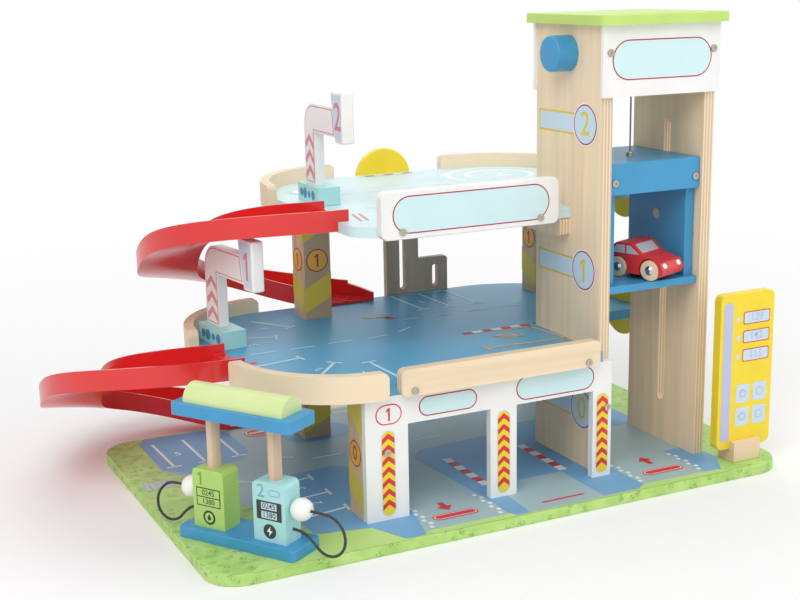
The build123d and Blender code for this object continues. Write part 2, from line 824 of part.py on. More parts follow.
def curved_ramp(deck_edge, center_line, deck_top, landing):
    # over half a turn of falling channel: a notched lap on the deck, a curved fall and a flat lip
    high = deck_top - deck_thick + ramp_sill
    low = landing + stand_gap
    center_x = deck_edge - stand_gap - ramp_lead
    center_y = center_line + ramp_radius
    landing_angle = 270 - ramp_turn
    lip_y = center_y + (ramp_radius - ramp_width / 2) * sin(radians(landing_angle))
    lap_low = deck_top + stand_gap
    lap_end = deck_edge + ramp_lap
    notch = deck_edge - stand_gap
    wall_top = high + ramp_wall_height
    side_y = center_line - ramp_width / 2
    reach = 2 * ramp_radius

    def upright_plane(turned, fallen):
        angle = radians(270 - ramp_turn * turned)
        outward = Vector(cos(angle), sin(angle), 0)
        origin = Vector(center_x, center_y, high - (high - low) * fallen) + outward * ramp_radius
        return Plane(origin=origin, x_dir=outward * -1, z_dir=(-sin(angle), cos(angle), 0))

    def band(inner, outer, rise, tall):
        # a strip of the falling run between two radii, upright at its sides
        sides = []
        for radius in (ramp_radius + inner, ramp_radius + outer):
            points = []
            for share in shares:
                station = fall_line @ share
                angle = radians(270 - ramp_turn * station.X)
                height = high - (high - low) * station.Y + rise
                points.append(Vector(center_x + radius * cos(angle), center_y + radius * sin(angle), height))
            sides.append(Edge.make_spline(points, parameters=shares))
        extrude(Face.make_surface_from_curves(*sides), amount=tall, dir=(0, 0, 1))

    shares = [step / ramp_sections for step in range(ramp_sections + 1)]
    half = ramp_width / 2
    with BuildPart() as ramp:
        band(-half, half, 0, ramp_floor)
        band(-half, ramp_wall - half, 0, ramp_wall_height)
        band(half - ramp_wall, half, 0, ramp_wall_height)
        for rib in range(1, ramp_rib_count + 1):
            rib_x = rib * rib_step + ramp_wall - half
            band(rib_x - ramp_rib / 2, rib_x + ramp_rib / 2, ramp_floor / 2, ramp_floor / 2 + ramp_rib_height)
        # flat landing, cut off square to the garage, its outer wall falling to the lip
        add(channel_section(upright_plane(1, 1)))
        revolve(axis=Axis((center_x, center_y, 0), (0, 0, -1)), revolution_arc=landing_angle / 2 + ramp_spare)
        with Locations((center_x, lip_y, low - reach / 2)):
            Box(reach, ramp_radius, 2 * reach, align=(Align.MIN, Align.MAX, Align.MIN), mode=Mode.SUBTRACT)
        with BuildSketch(facing_right(center_x + ramp_radius)):
            Polygon(
                (lip_y, low + ramp_lip_height),
                (lip_y + ramp_taper, low + ramp_wall_height),
                (lip_y + ramp_taper, low + 2 * ramp_wall_height),
                (lip_y, low + 2 * ramp_wall_height),
                align=None,
            )
        extrude(amount=ramp_radius, mode=Mode.SUBTRACT)
        # sill and tongue that lap over the deck's edge
        with BuildSketch(facing_front(side_y)):
            Polygon(
                (center_x, high),
                (notch, high),
                (notch, lap_low),
                (lap_end, lap_low),
                (lap_end, lap_low + ramp_tongue),
                (notch, lap_low + ramp_tongue),
                (center_x, high + ramp_floor),
                align=None,
            )
        extrude(amount=-ramp_width)
        for wall_y in (side_y, side_y + ramp_width - ramp_wall):
            with BuildSketch(facing_front(wall_y)) as cheek:
                Polygon(
                    (center_x, high),
                    (notch, high),
                    (notch, lap_low),
                    (lap_end, lap_low),
                    (lap_end, wall_top),
                    (center_x, wall_top),
                    align=None,
                )
                fillet(cheek.vertices().sort_by_distance((lap_end, wall_y, wall_top))[0], ramp_wall)
            extrude(amount=-ramp_wall)
        # peg that drops into the deck's hole
        with Locations((deck_edge + ramp_lap / 2, center_line + peg_offset, lap_low + ramp_tongue)):
            Cylinder(peg_head / 2, peg_head_height, align=(Align.CENTER, Align.CENTER, Align.MIN))
            Cylinder(peg_diameter / 2, ramp_tongue + peg_depth, align=(Align.CENTER, Align.CENTER, Align.MAX))
    return ramp


for name, deck_edge, center_line, deck_top, landing in (
    ("ramp_upper", deck_2_left, ramp_upper_y, deck_2_top, deck_1_top),
    ("ramp_lower", deck_1_left, ramp_lower_y, deck_1_top, ground_top),
):
    ramp = curved_ramp(deck_edge, center_line, deck_top, landing)
    ramp.part.label = name
    export_step(ramp.part, f"parts/{name}.step")


# ---- level signs: a slotted block, a board with an arm, and a number box on its slanting end ----
box_lean = (sign_box_length - sign_box_foot) / sign_box_height
sign_box_start = sign_reach - box_lean * sign_box_rise
arm_slant = box_lean * sign_arm_height
for name, sign_x, sign_y, deck_top, heading in (
    ("sign_1", from_left(sign_1_from_left), from_front(sign_1_from_front), deck_1_top, sign_1_heading),
    ("sign_2", from_left(sign_2_from_left), from_front(sign_2_from_front), deck_2_top, sign_2_heading),
):
    along = Vector(cos(radians(heading)), sin(radians(heading)), 0)
    sign_foot = Plane(origin=(sign_x, sign_y, deck_top + stand_gap), x_dir=along, z_dir=(0, 0, 1))
    sign_face = Plane(origin=sign_foot.origin, x_dir=along, z_dir=along.cross(Vector(0, 0, 1)))
    post_start = -sign_block_length / 2 + sign_post_inset
    post_low = sign_block_height - sign_slot_depth
    box_top = sign_height + sign_box_rise
    box_far = post_start + sign_box_start + sign_box_length

    with BuildPart() as sign_block:
        with BuildSketch(sign_foot):
            Rectangle(sign_block_length, sign_block_width)
        extrude(amount=sign_block_height)
        with BuildSketch(sign_foot.offset(post_low)):
            with Locations((post_start + sign_post_width / 2, 0)):
                Rectangle(sign_post_width + 2 * sign_slot_clear, sign_thick + 2 * sign_slot_clear)
        extrude(amount=sign_slot_depth, mode=Mode.SUBTRACT)
    sign_block.part.label = f"{name}_block"
    export_step(sign_block.part, f"parts/{name}_block.step")

    with BuildPart() as sign_board:
        with BuildSketch(sign_face) as sign_profile:
            with Locations((post_start, post_low)):
                Rectangle(sign_post_width, sign_height - post_low, align=Align.MIN)
            with Locations((post_start, sign_height - sign_arm_height)):
                Polygon(
                    (0, 0), (sign_reach + arm_slant, 0), (sign_reach, sign_arm_height), (0, sign_arm_height),
                    align=None,
                )
            corner = sign_face.from_local_coords((post_start, sign_height, 0))
            fillet(sign_profile.vertices().sort_by_distance(corner)[0], sign_corner)
        extrude(amount=sign_thick / 2, both=True)
    sign_board.part.label = f"{name}_board"
    export_step(sign_board.part, f"parts/{name}_board.step")

    with BuildPart() as sign_box:
        with BuildSketch(sign_face):
            Polygon(
                (box_far - sign_box_length, box_top),
                (box_far - sign_box_foot, box_top - sign_box_height),
                (box_far, box_top - sign_box_height),
                (box_far, box_top),
                align=None,
            )
        extrude(amount=sign_box_width / 2, both=True)
        fillet(sign_box.edges(), sign_box_round)
    sign_box.part.label = f"{name}_box"
    export_step(sign_box.part, f"parts/{name}_box.step")


# ---- fuel pumps ----
pump_along = Vector(cos(radians(pump_heading)), sin(radians(pump_heading)), 0)
pump_across = Vector(-pump_along.Y, pump_along.X, 0)
pump_foot = Plane(
    origin=(from_left(pump_from_left), from_front(pump_from_front), ground_top + stand_gap),
    x_dir=pump_along,
    z_dir=(0, 0, 1),
)
pump_deck = pump_foot.offset(pump_plate_thick)
pump_crown = pump_deck.offset(pump_height)
canopy_plane = pump_crown.offset(canopy_clear)

with BuildPart() as pump_plate:
    with BuildSketch(pump_foot):
        RectangleRounded(pump_plate_length, pump_plate_width, pump_plate_corner)
    extrude(amount=pump_plate_thick)
    fillet(pump_plate.edges().group_by(Axis.Z)[-1], edge_round)
pump_plate.part.label = "pump_plate"
export_step(pump_plate.part, "parts/pump_plate.step")

with BuildPart() as canopy_slab:
    with BuildSketch(canopy_plane):
        with Locations((0, -pump_setback)):
            RectangleRounded(canopy_length, canopy_width, pump_plate_corner)
    extrude(amount=canopy_thick)
    fillet(canopy_slab.edges().group_by(Axis.Z)[-1], edge_round)
canopy_slab.part.label = "canopy_slab"
export_step(canopy_slab.part, "parts/canopy_slab.step")

with BuildPart() as canopy_posts:
    with BuildSketch(pump_crown):
        with Locations((-pump_spacing / 2, -pump_setback), (pump_spacing / 2, -pump_setback)):
            Circle(pump_dowel / 2)
    extrude(amount=canopy_clear)
canopy_posts.part.label = "canopy_posts"
export_step(canopy_posts.part, "parts/canopy_posts.step")

ridge_start = canopy_plane.from_local_coords((-canopy_ridge_length / 2, -pump_setback, canopy_thick))
with BuildPart() as canopy_ridge:
    with BuildSketch(Plane(origin=ridge_start, x_dir=pump_across, z_dir=pump_along)):
        with BuildLine():
            CenterArc((0, 0), canopy_ridge_radius, 0, 180)
            Line((-canopy_ridge_radius, 0), (canopy_ridge_radius, 0))
        make_face()
    extrude(amount=canopy_ridge_length)
canopy_ridge.part.label = "canopy_ridge"
export_step(canopy_ridge.part, "parts/canopy_ridge.step")

# each hose leaves its pump low on the end face, hangs in a stiff loop and ends in the nozzle ball.
# A route point is (distance out from the end face, height over the plate).
nozzle_pole = 2 * nozzle_radius - nozzle_seat - nozzle_flat
hose_routes = {
    1: [
        (0, 13), (8.5, 13), (18, 7), (28, -4.5), (41, -6.5),
        (51, 2), (50.5, 17), (40, 28.5), (29.5, nozzle_height), (nozzle_pole, nozzle_height),
    ],
    2: [
        (0, 11.5), (8.5, 11.5), (18.5, 5.5), (29.5, -6), (43.5, -5.8),
        (53, 5), (52, 20), (41.5, 29.8), (30, nozzle_height), (nozzle_pole, nozzle_height),
    ],
}


def corner_radii(points):
    # each bend is as large as the shorter of its two runs allows
    radii = []
    for before, corner, after in zip(points, points[1:], points[2:]):
        run_in = Vector(*corner) - Vector(*before)
        run_out = Vector(*after) - Vector(*corner)
        turn = radians(run_in.get_angle(run_out))
        radii.append(0.45 * min(run_in.length, run_out.length) / tan(turn / 2))
    return radii


for number, side in ((1, -1), (2, 1)):
    outward = pump_along * side
    pump_x = side * pump_spacing / 2
    end_x = pump_x + side * pump_length / 2
    end_foot = pump_deck.from_local_coords((end_x, -pump_setback, 0))
    hose_face = Plane(origin=end_foot, x_dir=outward, z_dir=outward.cross(Vector(0, 0, 1)))
    nozzle_plane = Plane(origin=end_foot + Vector(0, 0, nozzle_height), x_dir=(0, 0, 1), z_dir=outward)

    with BuildPart() as fuel_pump:
        with BuildSketch(pump_deck):
            with Locations((pump_x, -pump_setback)):
                Rectangle(pump_length, pump_width)
        extrude(amount=pump_height)
        fillet(fuel_pump.edges().group_by(Axis.Z)[-1].sort_by(SortBy.LENGTH)[:2], pump_round)
        with Locations(nozzle_plane.location):
            Cylinder(nozzle_peg / 2 + nozzle_peg_clear, 2 * nozzle_peg_length + 1, mode=Mode.SUBTRACT)
    fuel_pump.part.label = f"fuel_pump_{number}"
    export_step(fuel_pump.part, f"parts/fuel_pump_{number}.step")

    with BuildPart() as nozzle:
        with Locations(nozzle_plane.offset(nozzle_radius - nozzle_seat).location):
            Sphere(nozzle_radius)
        with Locations(nozzle_plane.location):
            Box(
                3 * nozzle_radius, 3 * nozzle_radius, nozzle_radius,
                align=(Align.CENTER, Align.CENTER, Align.MAX), mode=Mode.SUBTRACT,
            )
            Cylinder(nozzle_peg / 2, nozzle_peg_length, align=(Align.CENTER, Align.CENTER, Align.MAX))
        with Locations(nozzle_plane.offset(nozzle_pole).location):
            Box(
                nozzle_radius, nozzle_radius, nozzle_radius,
                align=(Align.CENTER, Align.CENTER, Align.MIN), mode=Mode.SUBTRACT,
            )
    nozzle.part.label = f"nozzle_{number}"
    export_step(nozzle.part, f"parts/nozzle_{number}.step")

    radii = corner_radii(hose_routes[number])
    with BuildPart() as hose:
        with BuildLine(hose_face) as hose_line:
            FilletPolyline(*hose_routes[number], radius=radii)
        with BuildSketch(Plane(origin=hose_line.line @ 0, z_dir=hose_line.line % 0)):
            Circle(hose_diameter / 2)
        sweep(path=hose_line.line)
    hose.part.label = f"hose_{number}"
    export_step(hose.part, f"parts/hose_{number}.step")
    hose_length = sum(edge.length for edge in hose_line.edges())
    tube = pi * hose_diameter**2 / 4 * hose_length
    print(f"hose {number} radii", [round(radius, 1) for radius in radii])
    print(f"hose {number} length {hose_length:.1f} volume {hose.part.volume:.1f} of {tube:.1f}")

# ---- totem ----
totem_x = base_length / 2 - totem_from_right
totem_y = from_front(totem_from_front)
totem_low = ground_top + stand_gap
totem_board_low = totem_low + totem_block_height - totem_slot_depth
with BuildPart() as totem_block:
    with BuildSketch(Plane.XY.offset(totem_low)):
        with Locations((totem_x, totem_y)):
            Rectangle(totem_block_length, totem_block_width)
    extrude(amount=totem_block_height)
    with BuildSketch(Plane.XY.offset(totem_board_low)):
        with Locations((totem_x, totem_y)):
            Rectangle(2 * totem_block_length, totem_board_thick + 2 * sign_slot_clear)
    extrude(amount=totem_slot_depth, mode=Mode.SUBTRACT)
totem_block.part.label = "totem_block"
export_step(totem_block.part, "parts/totem_block.step")

with BuildPart() as totem_board:
    with BuildSketch(facing_front(totem_y - totem_board_thick / 2)):
        with Locations((totem_x, totem_board_low + totem_board_height / 2)):
            RectangleRounded(totem_board_width, totem_board_height, totem_round)
    extrude(amount=-totem_board_thick)
totem_board.part.label = "totem_board"
export_step(totem_board.part, "parts/totem_board.step")

# ---- little car, nose to the street, standing on the cabin's floor ----
car_direction = Vector(cos(radians(car_heading)), sin(radians(car_heading)), 0)
car_across = Vector(-car_direction.Y, car_direction.X, 0)
car_foot = Vector(tower_mid_x + car_sideways, cabin_front + car_forward, cabin_floor_top + stand_gap)
car_side = Plane(origin=car_foot, x_dir=car_direction, z_dir=car_across * -1)
wheel_radius = wheel_diameter / 2
well_depth = wheel_thick + well_clear
half_length = car_length / 2
with BuildPart() as car_body:
    with BuildSketch(car_side) as car_profile:
        Polygon(
            (-half_length, car_clearance),
            (half_length - car_chin, car_clearance),
            (half_length, car_bumper_height),
            (half_length - 2 * car_chin, car_nose_height),
            (half_length - car_bonnet, car_waist),
            (half_length - car_screen_foot, car_height),
            (-half_length + car_rear_slope, car_height),
            (-half_length + car_chin, car_waist),
            (-half_length, car_bumper_height),
            align=None,
        )
        fillet(car_profile.vertices(), car_round)
    extrude(amount=car_width / 2, both=True)
    for wheel_x in (-car_wheelbase / 2, car_wheelbase / 2):
        hub = car_foot + car_direction * wheel_x + Vector(0, 0, wheel_radius)
        with Locations(Plane(origin=hub, z_dir=car_across).location):
            Cylinder(car_axle_diameter / 2 + axle_clear, 2 * car_width, mode=Mode.SUBTRACT)
        for side in (-1, 1):
            well = Plane(origin=hub + car_across * side * (car_width / 2 - well_depth), z_dir=car_across * side)
            with Locations(well.location):
                Cylinder(
                    wheel_radius + wheel_well_gap, 2 * well_depth,
                    align=(Align.CENTER, Align.CENTER, Align.MIN), mode=Mode.SUBTRACT,
                )
car_body.part.label = "car_body"
export_step(car_body.part, "parts/car_body.step")

for end, wheel_x in (("rear", -car_wheelbase / 2), ("front", car_wheelbase / 2)):
    hub = car_foot + car_direction * wheel_x + Vector(0, 0, wheel_radius)
    with BuildPart() as car_wheels:
        for side in (-1, 1):
            wheel_plane = Plane(origin=hub + car_across * side * (car_width / 2 - wheel_thick), z_dir=car_across * side)
            with BuildSketch(wheel_plane):
                Circle(wheel_radius)
                Circle(car_axle_diameter / 2 + axle_clear, mode=Mode.SUBTRACT)
            extrude(amount=wheel_thick)
        rims = car_wheels.edges().filter_by(GeomType.CIRCLE)
        fillet(rims.filter_by(lambda edge: edge.radius > hub_diameter / 2), wheel_round)
    car_wheels.part.label = f"car_{end}_wheels"
    export_step(car_wheels.part, f"parts/car_{end}_wheels.step")

    with BuildPart() as car_axle:
        with Locations(Plane(origin=hub, z_dir=car_across).location):
            Cylinder(car_axle_diameter / 2, car_width)
        for side in (-1, 1):
            cap_plane = Plane(origin=hub + car_across * side * car_width / 2, z_dir=car_across * side)
            with Locations(cap_plane.location):
                Cone(
                    hub_diameter / 2, hub_diameter / 4, hub_height,
                    align=(Align.CENTER, Align.CENTER, Align.MIN),
                )
    car_axle.part.label = f"car_{end}_axle"
    export_step(car_axle.part, f"parts/car_{end}_axle.step")
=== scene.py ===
import math

import bpy
from mathutils import Matrix, Vector


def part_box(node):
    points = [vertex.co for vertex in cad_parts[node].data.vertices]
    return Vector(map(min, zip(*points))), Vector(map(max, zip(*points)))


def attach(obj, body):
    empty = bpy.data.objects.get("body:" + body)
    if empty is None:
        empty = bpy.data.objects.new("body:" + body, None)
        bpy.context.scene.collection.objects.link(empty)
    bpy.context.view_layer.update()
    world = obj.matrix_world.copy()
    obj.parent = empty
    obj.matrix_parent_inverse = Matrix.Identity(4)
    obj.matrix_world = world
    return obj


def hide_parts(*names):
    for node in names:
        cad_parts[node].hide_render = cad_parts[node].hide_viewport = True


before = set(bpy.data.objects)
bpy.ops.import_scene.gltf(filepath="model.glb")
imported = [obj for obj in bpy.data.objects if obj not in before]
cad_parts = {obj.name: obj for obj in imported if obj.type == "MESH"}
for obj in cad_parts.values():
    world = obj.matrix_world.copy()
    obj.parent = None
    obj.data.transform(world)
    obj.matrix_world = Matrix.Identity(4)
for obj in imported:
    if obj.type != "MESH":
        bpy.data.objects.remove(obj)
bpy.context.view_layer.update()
print("frame loaded:", len(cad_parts), "nodes")

# camera: where the photograph was taken from
cameraSetup = {
    "place": (-0.6121, -1.1855, 0.4868), "azimuth": -25.948, "elevation": 13.289, "roll": -1.070,
    "lens": 61.5,
}


def setCamera():
    azimuth, elevation, roll = (math.radians(cameraSetup[k]) for k in ("azimuth", "elevation", "roll"))
    level = math.cos(elevation)
    forward = Vector((-math.sin(azimuth) * level, math.cos(azimuth) * level, -math.sin(elevation)))
    right = Vector((math.cos(azimuth), math.sin(azimuth), 0))
    up = right.cross(forward)
    tiltedRight = right * math.cos(roll) + up * math.sin(roll)
    tiltedUp = up * math.cos(roll) - right * math.sin(roll)
    bpy.ops.object.camera_add(location=cameraSetup["place"])
    camera = bpy.context.object
    axes = Matrix((tiltedRight, tiltedUp, -forward)).transposed()
    camera.matrix_world = Matrix.Translation(cameraSetup["place"]) @ axes.to_4x4()
    camera.data.lens = cameraSetup["lens"]
    camera.data.sensor_width = 36
    camera.data.clip_end = 30
    bpy.context.scene.camera = camera


setCamera()
print("camera set")

# materials


def newMaterial(name):
    material = bpy.data.materials.new(name)
    material.use_nodes = True
    tree = material.node_tree
    shader = tree.nodes["Principled BSDF"]
    place = tree.nodes.new("ShaderNodeTexCoord")
    return material, tree, shader, place


def node(tree, kind, **values):
    made = tree.nodes.new(kind)
    for key, value in values.items():
        setattr(made, key, value)
    return made


def noiseFrom(tree, place, scale, detail=3.0, stretch=None):
    noise = node(tree, "ShaderNodeTexNoise")
    noise.inputs["Scale"].default_value = scale
    noise.inputs["Detail"].default_value = detail
    if stretch:
        mapping = node(tree, "ShaderNodeMapping")
        mapping.inputs["Scale"].default_value = stretch
        tree.links.new(place.outputs["Object"], mapping.inputs["Vector"])
        tree.links.new(mapping.outputs["Vector"], noise.inputs["Vector"])
    else:
        tree.links.new(place.outputs["Object"], noise.inputs["Vector"])
    return noise


def rampOf(tree, source, stops):
    ramp = node(tree, "ShaderNodeValToRGB")
    elements = ramp.color_ramp.elements
    while len(elements) < len(stops):
        elements.new(0.5)
    for element, (position, color) in zip(elements, stops):
        element.position = position
        element.color = (*color, 1)
    tree.links.new(source, ramp.inputs["Fac"])
    return ramp


def addBump(tree, shader, source, strength, distance):
    bump = node(tree, "ShaderNodeBump")
    bump.inputs["Strength"].default_value = strength
    bump.inputs["Distance"].default_value = distance
    tree.links.new(source, bump.inputs["Height"])
    tree.links.new(bump.outputs["Normal"], shader.inputs["Normal"])


def shade(color, factor):
    return tuple(min(1.0, c * factor) for c in color)


# lacquered or painted wood: a little unevenness in the coat and its sheen
def paintedWood(name, color, roughness=0.42, vary=0.05, coat=0.15):
    material, tree, shader, place = newMaterial(name)
    cloud = noiseFrom(tree, place, 22, 4)
    ramp = rampOf(
        tree, cloud.outputs["Fac"], [(0.3, shade(color, 1 - vary)), (0.7, shade(color, 1 + vary))],
    )
    tree.links.new(ramp.outputs["Color"], shader.inputs["Base Color"])
    fine = noiseFrom(tree, place, 420, 2)
    addBump(tree, shader, fine.outputs["Fac"], 0.06, 0.0003)
    shader.inputs["Roughness"].default_value = roughness
    shader.inputs["Coat Weight"].default_value = coat
    shader.inputs["Coat Roughness"].default_value = 0.25
    return material


# natural ply: long pale grain on its faces, glued layers on its edges
def plyWood(name, grainAxis, layerAxis, color=(0.76, 0.56, 0.36), layer=0.0017, dark=0.86, edgeDark=0.74):
    material, tree, shader, place = newMaterial(name)
    stretch = [90.0, 90.0, 90.0]
    stretch["XYZ".index(grainAxis)] = 5.0
    grain = noiseFrom(tree, place, 1.0, 6, stretch)
    figure = noiseFrom(tree, place, 1.0, 2, [s * 0.22 for s in stretch])
    mixFigure = node(tree, "ShaderNodeMath", operation="MULTIPLY_ADD")
    mixFigure.inputs[1].default_value = 0.6
    tree.links.new(figure.outputs["Fac"], mixFigure.inputs[0])
    tree.links.new(grain.outputs["Fac"], mixFigure.inputs[2])
    faceColor = rampOf(
        tree, mixFigure.outputs[0], [(0.5, shade(color, dark)), (0.85, color), (1.0, shade(color, 1.06))],
    )
    split = node(tree, "ShaderNodeSeparateXYZ")
    tree.links.new(place.outputs["Object"], split.inputs[0])
    stripes = node(tree, "ShaderNodeMath", operation="MULTIPLY")
    stripes.inputs[1].default_value = math.pi / layer
    tree.links.new(split.outputs[layerAxis], stripes.inputs[0])
    wave = node(tree, "ShaderNodeMath", operation="SINE")
    tree.links.new(stripes.outputs[0], wave.inputs[0])
    layers = rampOf(tree, wave.outputs[0], [(0.25, shade(color, edgeDark)), (0.6, shade(color, 1.06))])
    normals = node(tree, "ShaderNodeNewGeometry")
    normalSplit = node(tree, "ShaderNodeSeparateXYZ")
    tree.links.new(normals.outputs["Normal"], normalSplit.inputs[0])
    size = node(tree, "ShaderNodeMath", operation="ABSOLUTE")
    tree.links.new(normalSplit.outputs[layerAxis], size.inputs[0])
    isFace = node(tree, "ShaderNodeMath", operation="GREATER_THAN")
    isFace.inputs[1].default_value = 0.5
    tree.links.new(size.outputs[0], isFace.inputs[0])
    mix = node(tree, "ShaderNodeMix", data_type="RGBA")
    tree.links.new(isFace.outputs[0], mix.inputs["Factor"])
    tree.links.new(layers.outputs["Color"], mix.inputs[6])
    tree.links.new(faceColor.outputs["Color"], mix.inputs[7])
    tree.links.new(mix.outputs[2], shader.inputs["Base Color"])
    addBump(tree, shader, grain.outputs["Fac"], 0.10, 0.0003)
    shader.inputs["Roughness"].default_value = 0.5
    return material


def grassPrint(name):
    material, tree, shader, place = newMaterial(name)
    patches = noiseFrom(tree, place, 55, 5)
    ground = rampOf(
        tree, patches.outputs["Fac"],
        [(0.3, (0.36, 0.60, 0.14)), (0.55, (0.47, 0.70, 0.20)), (0.8, (0.58, 0.76, 0.28))],
    )
    tufts = node(tree, "ShaderNodeTexVoronoi")
    tufts.inputs["Scale"].default_value = 95
    tree.links.new(place.outputs["Object"], tufts.inputs["Vector"])
    mask = rampOf(tree, tufts.outputs["Distance"], [(0.22, (1, 1, 1)), (0.42, (0, 0, 0))])
    blades = noiseFrom(tree, place, 620, 2)
    bladeMask = rampOf(tree, blades.outputs["Fac"], [(0.47, (0, 0, 0)), (0.56, (1, 1, 1))])
    both = node(tree, "ShaderNodeMath", operation="MULTIPLY")
    tree.links.new(mask.outputs["Color"], both.inputs[0])
    tree.links.new(bladeMask.outputs["Color"], both.inputs[1])
    mix = node(tree, "ShaderNodeMix", data_type="RGBA")
    mix.inputs[7].default_value = (0.20, 0.40, 0.08, 1)
    tree.links.new(both.outputs[0], mix.inputs["Factor"])
    tree.links.new(ground.outputs["Color"], mix.inputs[6])
    tree.links.new(mix.outputs[2], shader.inputs["Base Color"])
    shader.inputs["Roughness"].default_value = 0.5
    return material


def mouldedPlastic(name, color):
    material, tree, shader, place = newMaterial(name)
    cloud = noiseFrom(tree, place, 9, 2)
    ramp = rampOf(tree, cloud.outputs["Fac"], [(0.3, shade(color, 0.92)), (0.7, shade(color, 1.06))])
    tree.links.new(ramp.outputs["Color"], shader.inputs["Base Color"])
    flow = noiseFrom(tree, place, 140, 2)
    addBump(tree, shader, flow.outputs["Fac"], 0.04, 0.0004)
    shader.inputs["Roughness"].default_value = 0.28
    shader.inputs["Coat Weight"].default_value = 0.4
    shader.inputs["Coat Roughness"].default_value = 0.12
    shader.inputs["Subsurface Weight"].default_value = 0.08
    shader.inputs["Subsurface Radius"].default_value = (0.006, 0.002, 0.001)
    return material


def plainMetal(name, color, roughness):
    material, tree, shader, place = newMaterial(name)
    scratch = noiseFrom(tree, place, 900, 3)
    ramp = rampOf(tree, scratch.outputs["Fac"], [(0.3, shade(color, 0.85)), (0.7, color)])
    tree.links.new(ramp.outputs["Color"], shader.inputs["Base Color"])
    shader.inputs["Metallic"].default_value = 1.0
    shader.inputs["Roughness"].default_value = roughness
    return material


# braided or twisted cord: small crossing ridges, with painted highlight on each strand's middle and painted shade
# in the grooves between strands
def braid(name, color, scale):
    material, tree, shader, place = newMaterial(name)
    cells = node(tree, "ShaderNodeTexVoronoi")
    cells.inputs["Scale"].default_value = scale
    tree.links.new(place.outputs["Object"], cells.inputs["Vector"])
    # painted highlight lightens each cell's middle; painted shade darkens the cell edges, the grooves between
    # strands
    ramp = rampOf(tree, cells.outputs["Distance"], [(0.1, shade(color, 1.8)), (0.6, shade(color, 0.6))])
    tree.links.new(ramp.outputs["Color"], shader.inputs["Base Color"])
    addBump(tree, shader, cells.outputs["Distance"], 0.7, 0.0006)
    shader.inputs["Roughness"].default_value = 0.7
    return material


colors = {
    "white": (0.86, 0.85, 0.83), "blue": (0.045, 0.30, 0.56), "lime": (0.42, 0.64, 0.15),
    "paleLime": (0.66, 0.78, 0.36), "aqua": (0.40, 0.72, 0.72), "paleAqua": (0.62, 0.82, 0.84),
    "deckBlue": (0.085, 0.36, 0.58), "yellow": (0.88, 0.66, 0.02), "maroon": (0.42, 0.02, 0.07),
    "red": (0.68, 0.03, 0.03), "roadGrey": (0.36, 0.50, 0.53), "roadBlue": (0.16, 0.38, 0.62),
    "lineWhite": (0.80, 0.86, 0.86), "dark": (0.03, 0.035, 0.04), "paleBlue": (0.56, 0.70, 0.80),
    "chevronRed": (0.72, 0.25, 0.27), "lavender": (0.50, 0.52, 0.72), "silver": (0.45, 0.47, 0.49),
    "bandYellow": (0.74, 0.56, 0.06), "signEdge": (0.66, 0.20, 0.24), "deckLine": (0.58, 0.76, 0.84),
    "ringWhite": (0.88, 0.94, 0.95), "waveBlue": (0.05, 0.25, 0.42), "grassStrip": (0.50, 0.72, 0.22),
    "orange": (0.80, 0.42, 0.05), "limeDark": (0.20, 0.34, 0.07), "aquaDark": (0.18, 0.44, 0.48),
    "roofLime": (0.50, 0.70, 0.16),
}
paint = {key: paintedWood(f"{key}Paint", color) for key, color in colors.items()}
ink = {key: paintedWood(f"{key}Ink", color, 0.5, 0.02, 0.05) for key, color in colors.items()}
plyFacingX = plyWood("plyFacingX", "Z", 0, (0.86, 0.67, 0.46))
plyRail = plyWood("plyRail", "X", 1, (0.86, 0.69, 0.48))
greyPly = plyWood("greyPly", "Z", 1, (0.52, 0.41, 0.31), 0.0017, 0.78)
solidWood = plyWood("postWood", "Z", 0, (0.70, 0.48, 0.29), 0.5, 0.72)
dowelWood = plyWood("dowelWood", "Z", 0, (0.78, 0.58, 0.40), 0.5, 0.74)
bentPly = plyWood("bentPly", "Z", 2, (0.82, 0.67, 0.48), 0.5, 0.9)
redPlastic = mouldedPlastic("rampPlastic", (0.74, 0.022, 0.022))
screwMetal = plainMetal("screwMetal", (0.55, 0.50, 0.42), 0.35)
capMetal = plainMetal("capMetal", (0.60, 0.60, 0.60), 0.2)
grass = grassPrint("grassPrint")
hoseBraid = braid("hoseBraid", (0.05, 0.05, 0.05), 900)
cordTwist = braid("cordTwist", (0.30, 0.26, 0.22), 1500)

